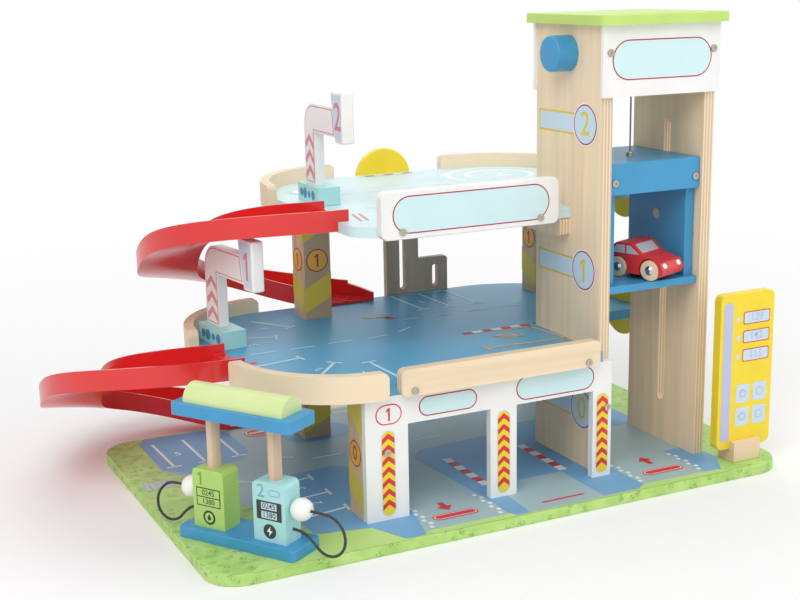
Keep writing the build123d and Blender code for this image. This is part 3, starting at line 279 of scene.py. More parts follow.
nodeFinish = {
    "base_board": grass, "deck_1": paint["deckBlue"], "deck_2": paint["paleAqua"],
    "facade": paint["white"], "tower_left_panel": plyFacingX, "tower_right_panel": plyFacingX,
    "tower_head_boards": paint["white"], "tower_roof": paint["roofLime"], "deck_ledges": plyFacingX,
    "ground_posts": solidWood, "upper_posts": solidWood, "rear_panel": greyPly, "rail_1_front": plyRail,
    "rail_1_left_front": bentPly, "rail_1_left_back": bentPly, "rail_2_left_back": bentPly,
    "rail_2_right_back": bentPly, "deck_2_sign": paint["white"], "stop_discs": paint["yellow"],
    "frame_screws": screwMetal, "cabin_screws": screwMetal, "winch_axle": dowelWood,
    "winch_knob": paint["blue"], "winch_spool": dowelWood, "winch_collar": screwMetal,
    "cabin_floor": paint["blue"], "cabin_roof": paint["blue"], "cabin_left_wall": paint["blue"],
    "cabin_right_wall": paint["blue"], "cabin_aprons": paint["blue"], "guide_pin": dowelWood,
    "cord_eye": screwMetal, "lift_cord": cordTwist, "ramp_upper": redPlastic, "ramp_lower": redPlastic,
    "sign_1_block": paint["aqua"], "sign_1_board": paint["white"], "sign_1_box": paint["white"],
    "sign_2_block": paint["aqua"], "sign_2_board": paint["white"], "sign_2_box": paint["white"],
    "pump_plate": paint["blue"], "canopy_slab": paint["blue"], "canopy_posts": dowelWood,
    "canopy_ridge": paint["paleLime"], "fuel_pump_1": paint["lime"], "fuel_pump_2": paint["aqua"],
    "nozzle_1": paint["white"], "nozzle_2": paint["white"], "totem_block": dowelWood,
    "totem_board": paint["yellow"], "car_body": paint["red"], "car_front_wheels": dowelWood,
    "car_rear_wheels": dowelWood, "car_front_axle": capMetal, "car_rear_axle": capMetal,
    "hose_1": hoseBraid, "hose_2": hoseBraid,
}
for name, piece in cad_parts.items():
    for materialSlot in piece.material_slots:
        materialSlot.material = nodeFinish[name]
print("materials on", len(nodeFinish), "nodes")

# hoses: how far out of the pump's end face and how high over its plate, in metres
hoses = {
    "diameter": 0.0025,
    "station": (-0.247, -0.125, 0.0203), "heading": -56.8, "setback": 0.0015, "endFace": 0.04925,
    1: [
        (0, 0.013), (0.0085, 0.013), (0.018, 0.007), (0.028, -0.0045), (0.041, -0.0065), (0.051, 0.002),
        (0.0505, 0.017), (0.040, 0.0285), (0.0295, 0.031), (0.0189, 0.031),
    ],
    2: [
        (0, 0.0115), (0.0085, 0.0115), (0.0185, 0.0055), (0.0295, -0.006), (0.0435, -0.0058),
        (0.053, 0.005), (0.052, 0.020), (0.0415, 0.0298), (0.030, 0.031), (0.0189, 0.031),
    ],
    "length": {1: 0.110, 2: 0.1131},
}
stationTurn = math.radians(hoses["heading"])
along = Vector((math.cos(stationTurn), math.sin(stationTurn), 0))
across = Vector((-along.y, along.x, 0))


def hangHose(number, side):
    foot = Vector(hoses["station"]) + along * side * hoses["endFace"] - across * hoses["setback"]
    route = [foot + along * side * out + Vector((0, 0, up)) for out, up in hoses[number]]
    line = bpy.data.curves.new(f"pumpHose{number}", "CURVE")
    line.dimensions = "3D"
    spline = line.splines.new("NURBS")
    spline.points.add(len(route) - 1)
    for point, spot in zip(spline.points, route):
        point.co = (*spot, 1)
    spline.order_u = 3
    spline.use_endpoint_u = True
    spline.resolution_u = 10
    line.bevel_depth = hoses["diameter"] / 2
    line.bevel_resolution = 4
    line.use_fill_caps = True
    line.materials.append(hoseBraid)
    hose = bpy.data.objects.new(f"pumpHose{number}", line)
    bpy.context.scene.collection.objects.link(hose)
    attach(hose, "pump_station")
    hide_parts(f"hose_{number}")


hangHose(1, -1)
hangHose(2, 1)
print("hoses hung")

# every print is a thin layer of ink cut to shape and laid on a board; heights in metres
inkLayers = {
    "first": 0.00012, "step": 0.00009, "letterScale": 1.38, "letterWeight": 0.012, "chevronRise": 0.42,
}


def board(origin, right, up, body):
    return {"origin": Vector(origin), "right": Vector(right), "up": Vector(up), "body": body, "cuts": {}}


def onBoard(sheet, u, v, layer):
    normal = sheet["right"].cross(sheet["up"])
    lift = inkLayers["first"] + inkLayers["step"] * layer
    return sheet["origin"] + sheet["right"] * u / 1000 + sheet["up"] * v / 1000 + normal * lift


def cut(sheet, color, points, layer=0):
    bpy.ops.object.select_all(action="DESELECT")
    bpy.ops.mesh.primitive_circle_add(vertices=len(points), radius=1, fill_type="NGON")
    piece = bpy.context.object
    for vertex, (u, v) in zip(piece.data.vertices, points):
        vertex.co = onBoard(sheet, u, v, layer)
    piece.location = (0, 0, 0)
    sheet["cuts"].setdefault(color, []).append(piece)


def bar(sheet, color, u0, v0, u1, v1, layer=0):
    cut(sheet, color, [(u0, v0), (u1, v0), (u1, v1), (u0, v1)], layer)


def stroke(sheet, color, start, end, width, layer=0):
    (u0, v0), (u1, v1) = start, end
    length = math.hypot(u1 - u0, v1 - v0)
    du, dv = (v1 - v0) / length * width / 2, -(u1 - u0) / length * width / 2
    points = [(u0 + du, v0 + dv), (u1 + du, v1 + dv), (u1 - du, v1 - dv), (u0 - du, v0 - dv)]
    cut(sheet, color, points, layer)


def disc(sheet, color, u, v, radius, layer=0):
    steps = 40
    turns = [2 * math.pi * k / steps for k in range(steps)]
    points = [(u + radius * math.cos(t), v + radius * math.sin(t)) for t in turns]
    cut(sheet, color, points, layer)


def pill(sheet, color, u0, v0, u1, v1, radius=None, layer=0):
    radius = min(u1 - u0, v1 - v0) / 2 if radius is None else radius
    points = []
    corners = (
        (u1 - radius, v1 - radius, 0),
        (u0 + radius, v1 - radius, 90),
        (u0 + radius, v0 + radius, 180),
        (u1 - radius, v0 + radius, 270),
    )
    for cu, cv, start in corners:
        for k in range(9):
            turn = math.radians(start + 90 * k / 8)
            points.append((cu + radius * math.cos(turn), cv + radius * math.sin(turn)))
    cut(sheet, color, points, layer)


def numeral(sheet, color, text, u, v, size, layer=0, turn=0):
    c, s = math.cos(math.radians(turn)), math.sin(math.radians(turn))
    if text == "1":
        flagged = [
            (-0.05, -0.5), (0.10, -0.5), (0.10, 0.5), (-0.02, 0.5), (-0.22, 0.32), (-0.22, 0.18),
            (-0.05, 0.28),
        ]
        points = [(u + (x * c - y * s) * size, v + (x * s + y * c) * size) for x, y in flagged]
        cut(sheet, color, points, layer)
        return
    bpy.ops.object.select_all(action="DESELECT")
    bpy.ops.object.text_add(location=(0, 0, 0))
    words = bpy.context.object
    words.data.body = text
    words.data.size = size * inkLayers["letterScale"]
    words.data.align_x = "CENTER"
    words.data.align_y = "CENTER"
    words.data.resolution_u = 5
    words.data.offset = size * inkLayers["letterWeight"]
    bpy.ops.object.convert(target="MESH")
    piece = bpy.context.object
    for vertex in piece.data.vertices:
        x, y = vertex.co.x, vertex.co.y
        vertex.co = onBoard(sheet, u + x * c - y * s, v + x * s + y * c, layer)
    sheet["cuts"].setdefault(color, []).append(piece)


def chevrons(sheet, color, left, right, low, count, pitch, thick, layer=1):
    middle = (left + right) / 2
    rise = (right - left) * inkLayers["chevronRise"]
    for k in range(count):
        base = low + k * pitch
        cut(
            sheet, color,
            [
                (left, base), (middle, base + rise), (right, base), (right, base + thick),
                (middle, base + rise + thick), (left, base + thick),
            ],
            layer,
        )


def badge(sheet, rim, fill, u0, v0, u1, v1, edge=1.2, layer=0):
    pill(sheet, rim, u0, v0, u1, v1, None, layer)
    pill(sheet, fill, u0 + edge, v0 + edge, u1 - edge, v1 - edge, None, layer + 1)


def ringBadge(sheet, rim, fill, u, v, radius, edge=1.2, layer=0):
    disc(sheet, rim, u, v, radius, layer)
    disc(sheet, fill, u, v, radius - edge, layer + 1)


def layInk(sheet, name):
    for color, cuts in sheet["cuts"].items():
        bpy.ops.object.select_all(action="DESELECT")
        for piece in cuts:
            piece.select_set(True)
        bpy.context.view_layer.objects.active = cuts[0]
        if len(cuts) > 1:
            bpy.ops.object.join()
        inkPiece = bpy.context.view_layer.objects.active
        inkPiece.name = f"{name}_{color}"
        inkPiece.data.materials.clear()
        inkPiece.data.materials.append(ink[color])
        for polygon in inkPiece.data.polygons:
            polygon.use_smooth = False
        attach(inkPiece, sheet["body"])


# base board print: roads, bays, bars and arrows, in millimetres from the board's middle
groundPrint = {
    "roads": [
        (-262, 170), (-252, 182), (60, 184), (130, 150), (243, 140), (243, -20), (225, -182), (128, -182),
        (118, -188), (-98, -188), (-110, -150), (-190, -140), (-205, -60), (-262, -12), (-249, 17),
        (-247, 56), (-264, 82),
    ],
    "cornerBays": [
        (-262, 172), (-254, 184), (-180, 184), (-166, 160), (-166, 100), (-180, 76), (-240, 62),
        (-262, 84),
    ],
    "sideBays": [
        (-172, 8), (-108, 14), (-92, 0), (-88, -40), (-92, -140), (-104, -186), (-124, -186),
        (-140, -150), (-190, -138), (-196, -60), (-186, -12),
    ],
    "innerFloor": [
        (-26, -4), (-8, 14), (80, 20), (120, 40), (243, 40), (243, -20), (118, -20), (118, -110),
        (8, -110), (2, -186), (-16, -186), (-16, -150), (-22, -60),
    ],
    "leftShaftApron": [(84, -110), (132, -110), (134, -184), (84, -184)],
    "rightShaftApron": [(206, -112), (243, -108), (243, -150), (224, -182), (206, -182)],
    "streetEdge": [
        (-98, -189), (-102, -180), (-15, -180), (-12, -187), (122, -187), (134, -178), (221, -180),
        (232, -189),
    ],
    "cornerGrass": [(-190, -140), (-150, -143), (-126, -155), (-120, -189), (-268, -189), (-240, -160)],
    "laneDashes": (
        (-117, 43, -85, 43), (-150, 66, -133, 56), (-60, 43, -28, 43), (0, 43, 30, 43),
        (-100, 170, -70, 170), (-40, 170, -10, 170), (24, 170, 54, 170), (-210, 20, -190, 4),
    ),
}
ground = board((0, 0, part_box("base_board")[1][2]), (1, 0, 0), (0, 1, 0), "frame")
cut(ground, "roadGrey", groundPrint["roads"], 0)
cut(ground, "roadBlue", groundPrint["cornerBays"], 1)
cut(ground, "roadBlue", groundPrint["sideBays"], 1)
cut(ground, "roadBlue", groundPrint["innerFloor"], 1)
cut(ground, "roadBlue", groundPrint["leftShaftApron"], 1)
cut(ground, "roadBlue", groundPrint["rightShaftApron"], 1)
pill(ground, "roadBlue", -120, 92, -42, 142, 22, 1)
pill(ground, "roadBlue", 20, 92, 60, 150, 16, 1)
bar(ground, "roadGrey", 12, -188, 82, -112, 2)
cut(ground, "grassStrip", groundPrint["streetEdge"], 3)
cut(ground, "grassStrip", groundPrint["cornerGrass"], 0)
for u in (-250, -217, -181):
    stroke(ground, "lineWhite", (u, 164), (u + 1, 88), 3.2, 2)
    stroke(ground, "lineWhite", (u - 7, 88), (u + 9, 88), 3.2, 2)
for v in (-6, -50, -94):
    stroke(ground, "lineWhite", (-140, v), (-182, v - 6), 3.2, 2)
    stroke(ground, "lineWhite", (-140, v - 8), (-139, v + 8), 3.2, 2)
for text, u, v in (("5", -234, 124), ("4", -199, 124)):
    numeral(ground, "lineWhite", text, u, v, 11, 2)
for text, u, v in (("3", -160, -30), ("2", -160, -72)):
    numeral(ground, "lineWhite", text, u, v, 11, 2, 90)
for u0, v0, u1, v1 in groundPrint["laneDashes"]:
    stroke(ground, "lineWhite", (u0, v0), (u1, v1), 2.6, 2)
for k in range(7):
    bar(ground, "lineWhite", -94 + 3 * (k % 2), -176 + 8 * k, -90 + 3 * (k % 2), -171 + 8 * k, 2)
    bar(ground, "lineWhite", -24 + 3 * (k % 2), -176 + 8 * k, -20 + 3 * (k % 2), -171 + 8 * k, 2)
    bar(ground, "lineWhite", 134 + 3 * (k % 2), -172 + 8 * k, 138 + 3 * (k % 2), -167 + 8 * k, 2)
    bar(ground, "lineWhite", 204 + 3 * (k % 2), -172 + 8 * k, 208 + 3 * (k % 2), -167 + 8 * k, 2)
for barLeft in (-3, 84):
    for k in range(7):
        bar(ground, "red" if k % 2 else "lineWhite", barLeft, -108 + 12 * k, barLeft + 9, -96 + 12 * k, 3)
ringBadge(ground, "red", "lineWhite", -139, 148, 13, 1.3, 2)
disc(ground, "red", -139, 148, 10.4, 4)
bar(ground, "lineWhite", -147, 146, -131, 150, 5)
for k in range(5):
    bar(ground, "lavender", -292 + 6.2 * k, 34, -288 + 6.2 * k, 56, 3)
for u, v, turn in ((-60, -134, -1), (174, -128, 1)):
    stroke(ground, "red", (u, v - 8 * turn), (u, v + 3 * turn), 6, 3)
    cut(
        ground, "red", [(u - 8 * turn, v + 2 * turn), (u + 8 * turn, v + 2 * turn), (u, v + 12 * turn)],
        3,
    )
plateSize = {"half": 23, "rise": 6}
for u, v in ((-60, -158), (173, -156)):
    for layer, (color, inset) in enumerate((("red", 0), ("lineWhite", 1.4), ("red", 2.4)), 3):
        across0, up0 = plateSize["half"] - inset, plateSize["rise"] - inset
        pill(ground, color, u - across0, v - up0, u + across0, v + up0, None, layer)
bar(ground, "red", 24, -173, 70, -170, 3)
layInk(ground, "groundPrint")
print("ground print laid")

# first deck: bays round its edge, broken lane lines, a barrier and a yellow bay
firstDeckPrint = {
    "bays": (
        ((40, 97), (36, 170)), ((72, 95), (69, 170)), ((104, 94), (103, 168)), ((-114, 98), (-142, 140)),
        ((-142, 68), (-186, 84)), ((-150, -17), (-205, -26)), ((-128, -48), (-162, -88)),
        ((-99, -62), (-96, -131)),
    ),
    "bayNumbers": (
        ("5", 54, 128, 0), ("6", 88, 128, 0), ("4", -140, 106, 60), ("3", -172, 50, 90),
        ("2", -150, -62, 130), ("1", -118, -92, 160),
    ),
    "laneDashes": (
        (2, 68, 18, 66), (36, 68, 60, 66), (78, 66, 105, 64), (123, 66, 149, 62), (-66, 15, -40, 19),
        (-106, 18, -80, 17), (-147, 16, -121, 16), (-188, 17, -161, 17), (-26, 24, -6, 36),
        (165, 62, 190, 62), (205, 62, 228, 62),
    ),
    "yellowBay": (
        ((24, -76), (108, -80)), ((100, -22), (110, -96)), ((104, -24), (64, -24)),
        ((20, -68), (22, -84)),
    ),
}
firstDeck = board((0, 0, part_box("deck_1")[1][2]), (1, 0, 0), (0, 1, 0), "frame")


def bayLine(sheet, color, tip, foot, width=3.0):
    stroke(sheet, color, tip, foot, width, 1)
    du, dv = foot[0] - tip[0], foot[1] - tip[1]
    length = math.hypot(du, dv)
    du, dv = -dv / length * 8, du / length * 8
    stroke(sheet, color, (tip[0] - du, tip[1] - dv), (tip[0] + du, tip[1] + dv), width, 1)


for tip, foot in firstDeckPrint["bays"]:
    bayLine(firstDeck, "deckLine", tip, foot)
stroke(firstDeck, "deckLine", (36, 170), (103, 168), 2.4, 1)
for text, u, v, turn in firstDeckPrint["bayNumbers"]:
    numeral(firstDeck, "deckLine", text, u, v, 10, 1, turn)
for u0, v0, u1, v1 in firstDeckPrint["laneDashes"]:
    stroke(firstDeck, "deckLine", (u0, v0), (u1, v1), 2.2, 1)
for k in range(7):
    bar(firstDeck, "red" if k % 2 == 0 else "lineWhite", 27 + 11 * k, -20, 38 + 11 * k, -12, 1)
for start, end in firstDeckPrint["yellowBay"]:
    stroke(firstDeck, "orange", start, end, 3, 1)
disc(firstDeck, "orange", 62, -46, 9, 1)
disc(firstDeck, "deckBlue", 62, -46, 6.4, 2)
stroke(firstDeck, "orange", (48, -40), (76, -52), 3, 3)
stroke(firstDeck, "red", (-20, 90), (-8, 82), 4, 1)
cut(firstDeck, "red", [(-10, 90), (-14, 76), (0, 76)], 1)
stroke(firstDeck, "orange", (-34, 96), (-22, 88), 4, 1)
stroke(firstDeck, "red", (-204, -16), (-192, -10), 5, 1)
layInk(firstDeck, "firstDeckPrint")

# second deck: landing ring, barriers and dashes in pale tones
secondDeckPrint = {
    "ringCenter": (165, 150), "rings": (62, 55, 40, 34), "numberSize": 34,
    "barriers": ((216, 223), (60, 66)), "barrierStart": 30, "barrierStep": 12,
    "laneDashes": (
        (-60, 110, -36, 112), (-20, 113, 4, 113), (20, 114, 44, 114), (62, 115, 86, 115),
        (-60, 20, -36, 20), (-20, 20, 4, 20), (20, 20, 44, 20),
    ),
}
secondDeck = board((0, 0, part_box("deck_2")[1][2]), (1, 0, 0), (0, 1, 0), "frame")
for layer, radius in enumerate(secondDeckPrint["rings"]):
    disc(secondDeck, "paleAqua" if layer % 2 else "ringWhite", *secondDeckPrint["ringCenter"], radius, layer)
numeral(secondDeck, "ringWhite", "2", *secondDeckPrint["ringCenter"], secondDeckPrint["numberSize"], 4)
for k in range(6):
    start = secondDeckPrint["barrierStart"] + secondDeckPrint["barrierStep"] * k
    for near, far in secondDeckPrint["barriers"]:
        color = "ringWhite" if k % 2 else "chevronRed"
        bar(secondDeck, color, start, near, start + secondDeckPrint["barrierStep"], far, 1)
for u0, v0, u1, v1 in secondDeckPrint["laneDashes"]:
    stroke(secondDeck, "ringWhite", (u0, v0), (u1, v1), 2.4, 1)
stroke(secondDeck, "chevronRed", (-95, -44), (-87, -6), 3, 1)
stroke(secondDeck, "chevronRed", (-88, -44), (-80, -6), 3, 1)
disc(secondDeck, "paleBlue", -74, 150, 16, 1)
disc(secondDeck, "ringWhite", -74, 150, 12, 2)
layInk(secondDeck, "secondDeckPrint")
print("deck prints laid")

# street front: warning strips on the legs and lozenges over the doorways
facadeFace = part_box("facade")[0][1]
street = board((0, facadeFace, 0), (1, 0, 0), (0, 0, 1), "frame")
strips = {"centers": (-118.0, 1.1, 110.9), "width": 12.5, "low": 14.5, "high": 94.0}
for u in strips["centers"]:
    half = strips["width"] / 2
    pill(street, "paleBlue", u - half - 0.8, strips["low"] - 0.8, u + half + 0.8, strips["high"] + 0.8)
    pill(street, "yellow", u - half, strips["low"], u + half, strips["high"], None, 1)
    chevrons(street, "red", u - half, u + half, strips["low"] + 5, 7, 10.4, 5.0, 2)
lozenges = {"leftDoor": (-87, 102, -27, 121), "rightDoor": (14.5, 101, 101, 124.5), "leg": (-130, 100, -104, 119)}
badge(street, "maroon", "paleAqua", *lozenges["leftDoor"])
badge(street, "maroon", "paleAqua", *lozenges["rightDoor"])
badge(street, "red", "white", *lozenges["leg"])
numeral(street, "red", "1", -117, 109.5, 12, 3)
layInk(street, "streetPrint")

# sign board of the second deck and the tower's head boards
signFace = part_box("deck_2_sign")[0][1]
deckSign = board((0, signFace, 0), (1, 0, 0), (0, 0, 1), "frame")
badge(deckSign, "maroon", "paleAqua", -86, 260, 80, 295)
layInk(deckSign, "deckSignPrint")
headLow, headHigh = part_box("tower_head_boards")
for key, sheet, middle in (
    ("headFront", board((0, headLow[1], 0), (1, 0, 0), (0, 0, 1), "frame"), 174.85),
    ("headBack", board((0, headHigh[1], 0), (-1, 0, 0), (0, 0, 1), "frame"), -174.85),
):
    badge(sheet, "maroon", "paleAqua", middle - 56.5, 390.5, middle + 56.5, 427.5)
    layInk(sheet, f"{key}Print")

# storey numbers on the tower's left side
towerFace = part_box("tower_left_panel")[0][0]
towerSide = board((towerFace, 0, 0), (0, -1, 0), (0, 0, 1), "frame")
storeys = {
    "levels": (("0", 69), ("1", 208.8), ("2", 348.7)), "center": 106.3, "radius": 19.2, "rim": 1.4,
    "numberSize": 23, "bandFrom": 25, "bandTo": 92, "bandEdge": 2,
}
for level, height in storeys["levels"]:
    center, edge = storeys["center"], storeys["bandEdge"]
    bar(towerSide, "bandYellow", storeys["bandFrom"], height - 11, storeys["bandTo"], height + 10)
    bar(towerSide, "paleBlue", storeys["bandFrom"] + edge, height - 9, storeys["bandTo"], height + 8, 1)
    disc(towerSide, "white", center, height, storeys["radius"] + storeys["rim"], 2)
    ringBadge(towerSide, "maroon", "paleBlue", center, height, storeys["radius"], storeys["rim"], 3)
    numeral(towerSide, "bandYellow", level, center, height, storeys["numberSize"], 5)
layInk(towerSide, "towerPrint")
print("street, sign and tower prints laid")

# posts: yellow bands that climb round, and a numbered circle
posts = {
    "side": 31, "band": 26, "climb": 16, "edge": 0.4, "badge": 12.4,
    "upper": [(-89, 119), (185, 101)], "ground": [(-140, -133), (-101, 103), (185, 101)],
    "upperRange": (136.6, 256.6), "groundRange": (10.3, 125.6),
}


def dressPost(left, front, low, high, level, name):
    side = posts["side"]
    faces = (
        board((left / 1000, front / 1000, 0), (1, 0, 0), (0, 0, 1), "frame"),
        board(((left + side) / 1000, front / 1000, 0), (0, 1, 0), (0, 0, 1), "frame"),
        board(((left + side) / 1000, (front + side) / 1000, 0), (-1, 0, 0), (0, 0, 1), "frame"),
        board((left / 1000, (front + side) / 1000, 0), (0, -1, 0), (0, 0, 1), "frame"),
    )
    middle = (low + high) / 2
    for k, sheet in enumerate(faces):
        a, b = posts["edge"], side - posts["edge"]
        lift = posts["climb"]
        up = k % 2 == 0
        for start in (low + 6, middle + 22):
            left0, right0 = (start, start + lift) if up else (start + lift, start)
            cut(
                sheet, "bandYellow",
                [(a, left0), (b, right0), (b, right0 + posts["band"]), (a, left0 + posts["band"])],
            )
        ringBadge(sheet, "maroon", "orange", side / 2, middle + 2, posts["badge"], 1.3, 1)
        numeral(sheet, "maroon", level, side / 2, middle + 2, 14, 3)
        layInk(sheet, f"{name}Face{k}")


for k, (left, front) in enumerate(posts["upper"]):
    dressPost(left, front, *posts["upperRange"], "1", f"upperPost{k}")
for k, (left, front) in enumerate(posts["ground"]):
    dressPost(left, front, *posts["groundRange"], "0", f"groundPost{k}")
print("posts dressed")

# level signs
signs = {
    "sign_1": {"foot": (-0.1964, 0.0725), "heading": -83.0, "level": "1"},
    "sign_2": {"foot": (-0.085, 0.080), "heading": -92.0, "level": "2"},
}
signShape = {
    "start": -23, "post": 28, "reach": 80, "arm": 28, "height": 99, "boxLength": 30, "boxFoot": 20,
    "boxHeight": 49, "rise": 16, "thick": 10, "boxThick": 12.5, "blockThick": 24,
    "corner": 24, "printFoot": 18, "lineFrom": 2, "lineTo": 2.9,
}


def signSheet(name, side, halfThick):
    sign = signs[name]
    turn = math.radians(sign["heading"])
    run = Vector((math.cos(turn), math.sin(turn), 0))
    leftward = Vector((-run.y, run.x, 0))
    foot = Vector((*sign["foot"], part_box(f"{name}_block")[0][2]))
    return board(foot + leftward * side * halfThick / 1000, run * -side, (0, 0, 1), name)


def facing(points, side):
    turned = [(u * -side, v) for u, v in points]
    return turned if side == -1 else turned[::-1]


# the board's outline, this far inside its edge
def signOutline(inset, tip):
    start, post, reach, top = (signShape[k] for k in ("start", "post", "reach", "height"))
    arm, corner = signShape["arm"], signShape["corner"]
    outline = [(start + inset, signShape["printFoot"] + inset), (start + inset, top - corner)]
    for degrees in range(15, 91, 15):
        turn = math.radians(degrees)
        radius = corner - inset
        outline.append((start + corner - radius * math.cos(turn), top - corner + radius * math.sin(turn)))
    outline += [
        (start + reach - inset, top - inset), (start + reach + tip, top - arm + inset),
        (start + post - inset, top - arm + inset), (start + post - inset, signShape["printFoot"] + inset),
    ]
    return outline[::-1]


def printSign(name, key, side):
    start, post = signShape["start"], signShape["post"]
    sheet = signSheet(name, side, signShape["thick"] / 2)
    cut(sheet, "signEdge", facing(signOutline(signShape["lineFrom"], 2), side))
    cut(sheet, "white", facing(signOutline(signShape["lineTo"], 1), side), 1)
    low, high = sorted(((start + 3.4) * -side, (start + post - 3.4) * -side))
    chevrons(sheet, "chevronRed", low, high, 22, 3, 15.5, 6.8, 2)
    layInk(sheet, f"{name}Board{key}")

    sheet = signSheet(name, side, signShape["boxThick"] / 2)
    lean = (signShape["boxLength"] - signShape["boxFoot"]) / signShape["boxHeight"]
    near = start + signShape["reach"] - lean * signShape["rise"]
    far = near + signShape["boxLength"]
    top = signShape["height"] + signShape["rise"]
    bottom = top - signShape["boxHeight"]
    panel = [(near + 3.4, top - 3), (near + 12, bottom + 3), (far - 3, bottom + 3), (far - 3, top - 3)]
    cut(sheet, "paleBlue", facing(panel, side))
    numeral(sheet, "signEdge", signs[name]["level"], (far - 12) * -side, top - 25, 27, 1)
    layInk(sheet, f"{name}Box{key}")

    sheet = signSheet(name, side, signShape["blockThick"] / 2)
    for spot, size in ((-18, 4.2), (-8, 5.4), (4, 3.6), (15, 4.8)):
        disc(sheet, "waveBlue", spot, 9, size)
    layInk(sheet, f"{name}Block{key}")


for name in signs:
    printSign(name, "Left", -1)
    printSign(name, "Right", 1)
print("level signs printed")

# fuel pumps: numbers, displays and round marks on both broad faces
pumps = {"spacing": 32.5, "depth": 11, "setback": 1.5}
stationFoot = Vector(hoses["station"])
for number, side, tone in ((1, -1, "limeDark"), (2, 1, "aquaDark")):
    for key, facing in (("Street", -1), ("Deck", 1)):
        out = facing * pumps["depth"] - pumps["setback"]
        origin = stationFoot + along * side * pumps["spacing"] / 1000 + across * out / 1000
        sheet = board(origin, along * -facing, (0, 0, 1), "pump_station")
        numeral(sheet, tone, str(number), -8, 45, 12, 0)
        bar(sheet, "dark", -13, 20, 13, 37)
        if number == 1:
            bar(sheet, "lime", -12, 29, 12, 36, 1)
            bar(sheet, "lime", -12, 21, 12, 28, 1)
        else:
            bar(sheet, "paleBlue", -8, 29.4, 8, 35.6, 1)
            bar(sheet, "paleBlue", -8, 21.4, 8, 27.6, 1)
            badge(sheet, "aquaDark", "aqua", 0, 42, 12, 48, 0.8)
        numeral(sheet, "dark", "0245", 0, 32.5, 5.0, 2)
        numeral(sheet, "dark", "1380", 0, 24.5, 5.0, 2)
        disc(sheet, "dark", 0, 10, 6.6)
        if number == 1:
            disc(sheet, "lime", 0, 10, 4.6, 1)
            disc(sheet, "dark", 0, 9.4, 2.0, 2)
            cut(sheet, "dark", [(-1.7, 10.2), (1.7, 10.2), (0, 13.4)], 2)
        else:
            cut(
                sheet, "white", [(0.8, 14.5), (-3, 9.4), (-0.4, 9.4), (-1, 5.4), (3, 10.6), (0.4, 10.6)],
                1,
            )
        layInk(sheet, f"fuelPump{number}{key}")
print("pump prints laid")

# totem: band, three displays and four squares on both faces
totemLow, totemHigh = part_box("totem_board")
totemMiddle = (totemLow[0] + totemHigh[0]) / 2
for key, sheet in (
    ("Front", board((totemMiddle, totemLow[1], totemLow[2]), (1, 0, 0), (0, 0, 1), "totem")),
    ("Back", board((totemMiddle, totemHigh[1], totemLow[2]), (-1, 0, 0), (0, 0, 1), "totem")),
):
    pill(sheet, "lavender", -29, 8, -18, 150, 4)
    for row, text in enumerate(("139", "142", "115")):
        low = 126 - row * 19
        disc(sheet, "paleBlue", -11, low + 6, 2.6)
        pill(sheet, "red", -5, low, 28, low + 13, 2)
        pill(sheet, "paleBlue", -4, low + 1, 27, low + 12, 1.6, 1)
        numeral(sheet, "lavender", text, 11.5, low + 6.5, 8, 2)
    for row in (0, 1):
        for column in (0, 1):
            u, v = -11 + 21 * column, 22 + 24 * row
            pill(sheet, "paleBlue", u, v, u + 17, v + 19, 2.5)
            disc(sheet, "lavender", u + 8.5, v + 9.5, 4.5, 1)
            disc(sheet, "paleBlue", u + 8.5, v + 9.5, 2.4 + column, 2)
    layInk(sheet, f"totem{key}")
print("totem printed")

# car: windows and lamps
car = {"foot": (0.18185, -0.104, 0.1953), "heading": -68.0, "halfWidth": 19.0}
carTurn = math.radians(car["heading"])
carRun = Vector((math.cos(carTurn), math.sin(carTurn), 0))
carAcross = Vector((-carRun.y, carRun.x, 0))
for key, side in (("Left", -1), ("Right", 1)):
    sheet = board(
        Vector(car["foot"]) + carAcross * side * car["halfWidth"] / 1000, carRun * -side, (0, 0, 1),
        "car",
    )
    rear = [(-26, 24.6), (-18.4, 32.6), (-9.2, 32.6), (-9.2, 24.6)]
    front = [(-7.6, 24.6), (-7.6, 32.6), (-3.2, 32.6), (7.2, 24.6)]
    for window in (rear, front):
        points = [(u * -side, v) for u, v in window]
        cut(sheet, "silver", points[::-1] if side == -1 else points)
    layInk(sheet, f"carSide{key}")


def slopedSheet(start, end):
    low = Vector(car["foot"]) + carRun * start[0] / 1000 + Vector((0, 0, start[1] / 1000))
    high = Vector(car["foot"]) + carRun * end[0] / 1000 + Vector((0, 0, end[1] / 1000))
    right = carAcross if start[0] > end[0] else -carAcross
    return board(low, right, (high - low).normalized(), "car"), (high - low).length * 1000


screen, screenLength = slopedSheet((10, 24.5), (-2, 35))
pill(screen, "silver", -15, 2.2, 15, screenLength - 2.2, 1.5)
layInk(screen, "carWindscreen")
rearScreen, rearLength = slopedSheet((-32, 24.5), (-19, 35))
pill(rearScreen, "silver", -14, 2.2, 14, rearLength - 2.2, 1.5)
layInk(rearScreen, "carRearScreen")
nose, noseLength = slopedSheet((34, 12), (30, 19))
pill(nose, "white", -16, 1.6, -9, noseLength - 1.4)
pill(nose, "white", 9, 1.6, 16, noseLength - 1.4)
layInk(nose, "carLamps")
print("car finished")

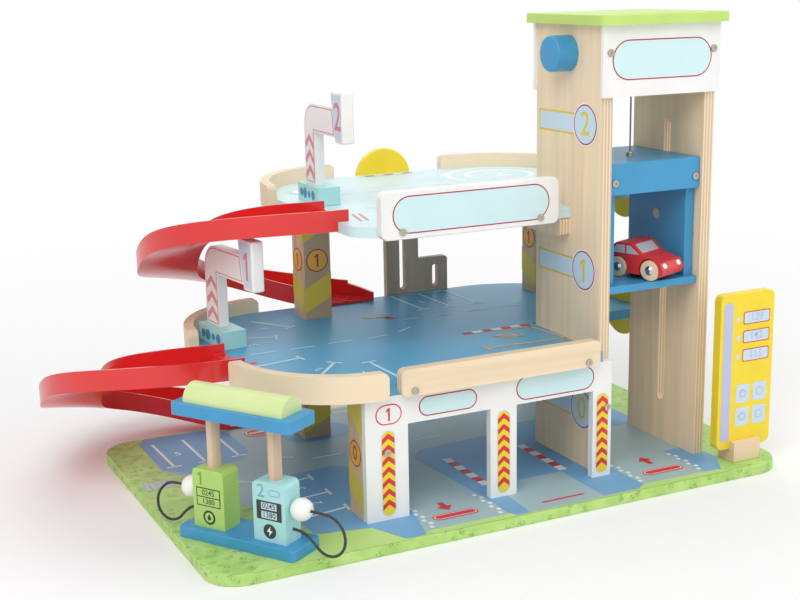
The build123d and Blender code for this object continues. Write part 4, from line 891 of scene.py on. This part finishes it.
# floor and soft light
studio = {
    "floorColor": (0.93, 0.93, 0.93), "floorSize": 200, "fadeFrom": 0.45, "fadeTo": 1.5, "key": 26,
    "fill": 12, "back": 10,
}
bpy.ops.object.select_all(action="DESELECT")
bpy.ops.mesh.primitive_plane_add(size=studio["floorSize"], location=(0, 0, -0.0004))
floor = bpy.context.object
floor.name = "studioFloor"
floorMaterial, floorTree, floorShader, floorPlace = newMaterial("floorPaper")
paper = noiseFrom(floorTree, floorPlace, 60, 3)
paperColor = rampOf(
    floorTree, paper.outputs["Fac"],
    [(0.3, shade(studio["floorColor"], 0.99)), (0.7, studio["floorColor"])],
)
floorTree.links.new(paperColor.outputs["Color"], floorShader.inputs["Base Color"])
floorShader.inputs["Roughness"].default_value = 0.9
lightPath = node(floorTree, "ShaderNodeLightPath")
glow = node(floorTree, "ShaderNodeEmission")
glow.inputs["Strength"].default_value = 1.0
seen = node(floorTree, "ShaderNodeMath", operation="MULTIPLY")
reach = node(floorTree, "ShaderNodeVectorMath", operation="LENGTH")
floorTree.links.new(floorPlace.outputs["Object"], reach.inputs[0])
fade = node(floorTree, "ShaderNodeMapRange", interpolation_type="SMOOTHSTEP")
fade.inputs["From Min"].default_value = studio["fadeFrom"]
fade.inputs["From Max"].default_value = studio["fadeTo"]
floorTree.links.new(reach.outputs["Value"], fade.inputs["Value"])
floorTree.links.new(fade.outputs["Result"], seen.inputs[1])
mixFloor = node(floorTree, "ShaderNodeMixShader")
floorTree.links.new(lightPath.outputs["Is Camera Ray"], seen.inputs[0])
floorTree.links.new(seen.outputs[0], mixFloor.inputs[0])
floorTree.links.new(floorShader.outputs[0], mixFloor.inputs[1])
floorTree.links.new(glow.outputs[0], mixFloor.inputs[2])
floorTree.links.new(mixFloor.outputs[0], floorTree.nodes["Material Output"].inputs["Surface"])
floor.data.materials.append(floorMaterial)

for name, place, size, power in (
    ("keyLight", (-1.1, -1.3, 1.9), 1.6, studio["key"]),
    ("fillLight", (1.6, -1.0, 1.3), 1.8, studio["fill"]),
    ("backLight", (0.4, 1.7, 1.8), 1.6, studio["back"]),
):
    bpy.ops.object.light_add(type="AREA", location=place)
    lamp = bpy.context.object
    lamp.name = name
    lamp.data.size = size
    lamp.data.energy = power
    lamp.rotation_euler = (Vector((0, 0, 0.15)) - Vector(place)).to_track_quat("-Z", "Y").to_euler()

world = bpy.data.worlds.new("studioWorld")
bpy.context.scene.world = world
world.use_nodes = True
worldTree = world.node_tree
background = worldTree.nodes["Background"]
background.inputs["Color"].default_value = (1, 1, 1, 1)
rays = node(worldTree, "ShaderNodeLightPath")
cameraOrGlossy = node(worldTree, "ShaderNodeMath", operation="MAXIMUM")
anyDirect = node(worldTree, "ShaderNodeMath", operation="MAXIMUM")
worldTree.links.new(rays.outputs["Is Camera Ray"], cameraOrGlossy.inputs[0])
worldTree.links.new(rays.outputs["Is Glossy Ray"], cameraOrGlossy.inputs[1])
worldTree.links.new(cameraOrGlossy.outputs[0], anyDirect.inputs[0])
worldTree.links.new(rays.outputs["Is Transmission Ray"], anyDirect.inputs[1])
strength = node(worldTree, "ShaderNodeMapRange")
strength.inputs["To Min"].default_value = 0.62
strength.inputs["To Max"].default_value = 1.0
worldTree.links.new(anyDirect.outputs[0], strength.inputs["Value"])
worldTree.links.new(strength.outputs["Result"], background.inputs["Strength"])
bpy.context.scene.view_settings.view_transform = "Standard"
print("studio lit")
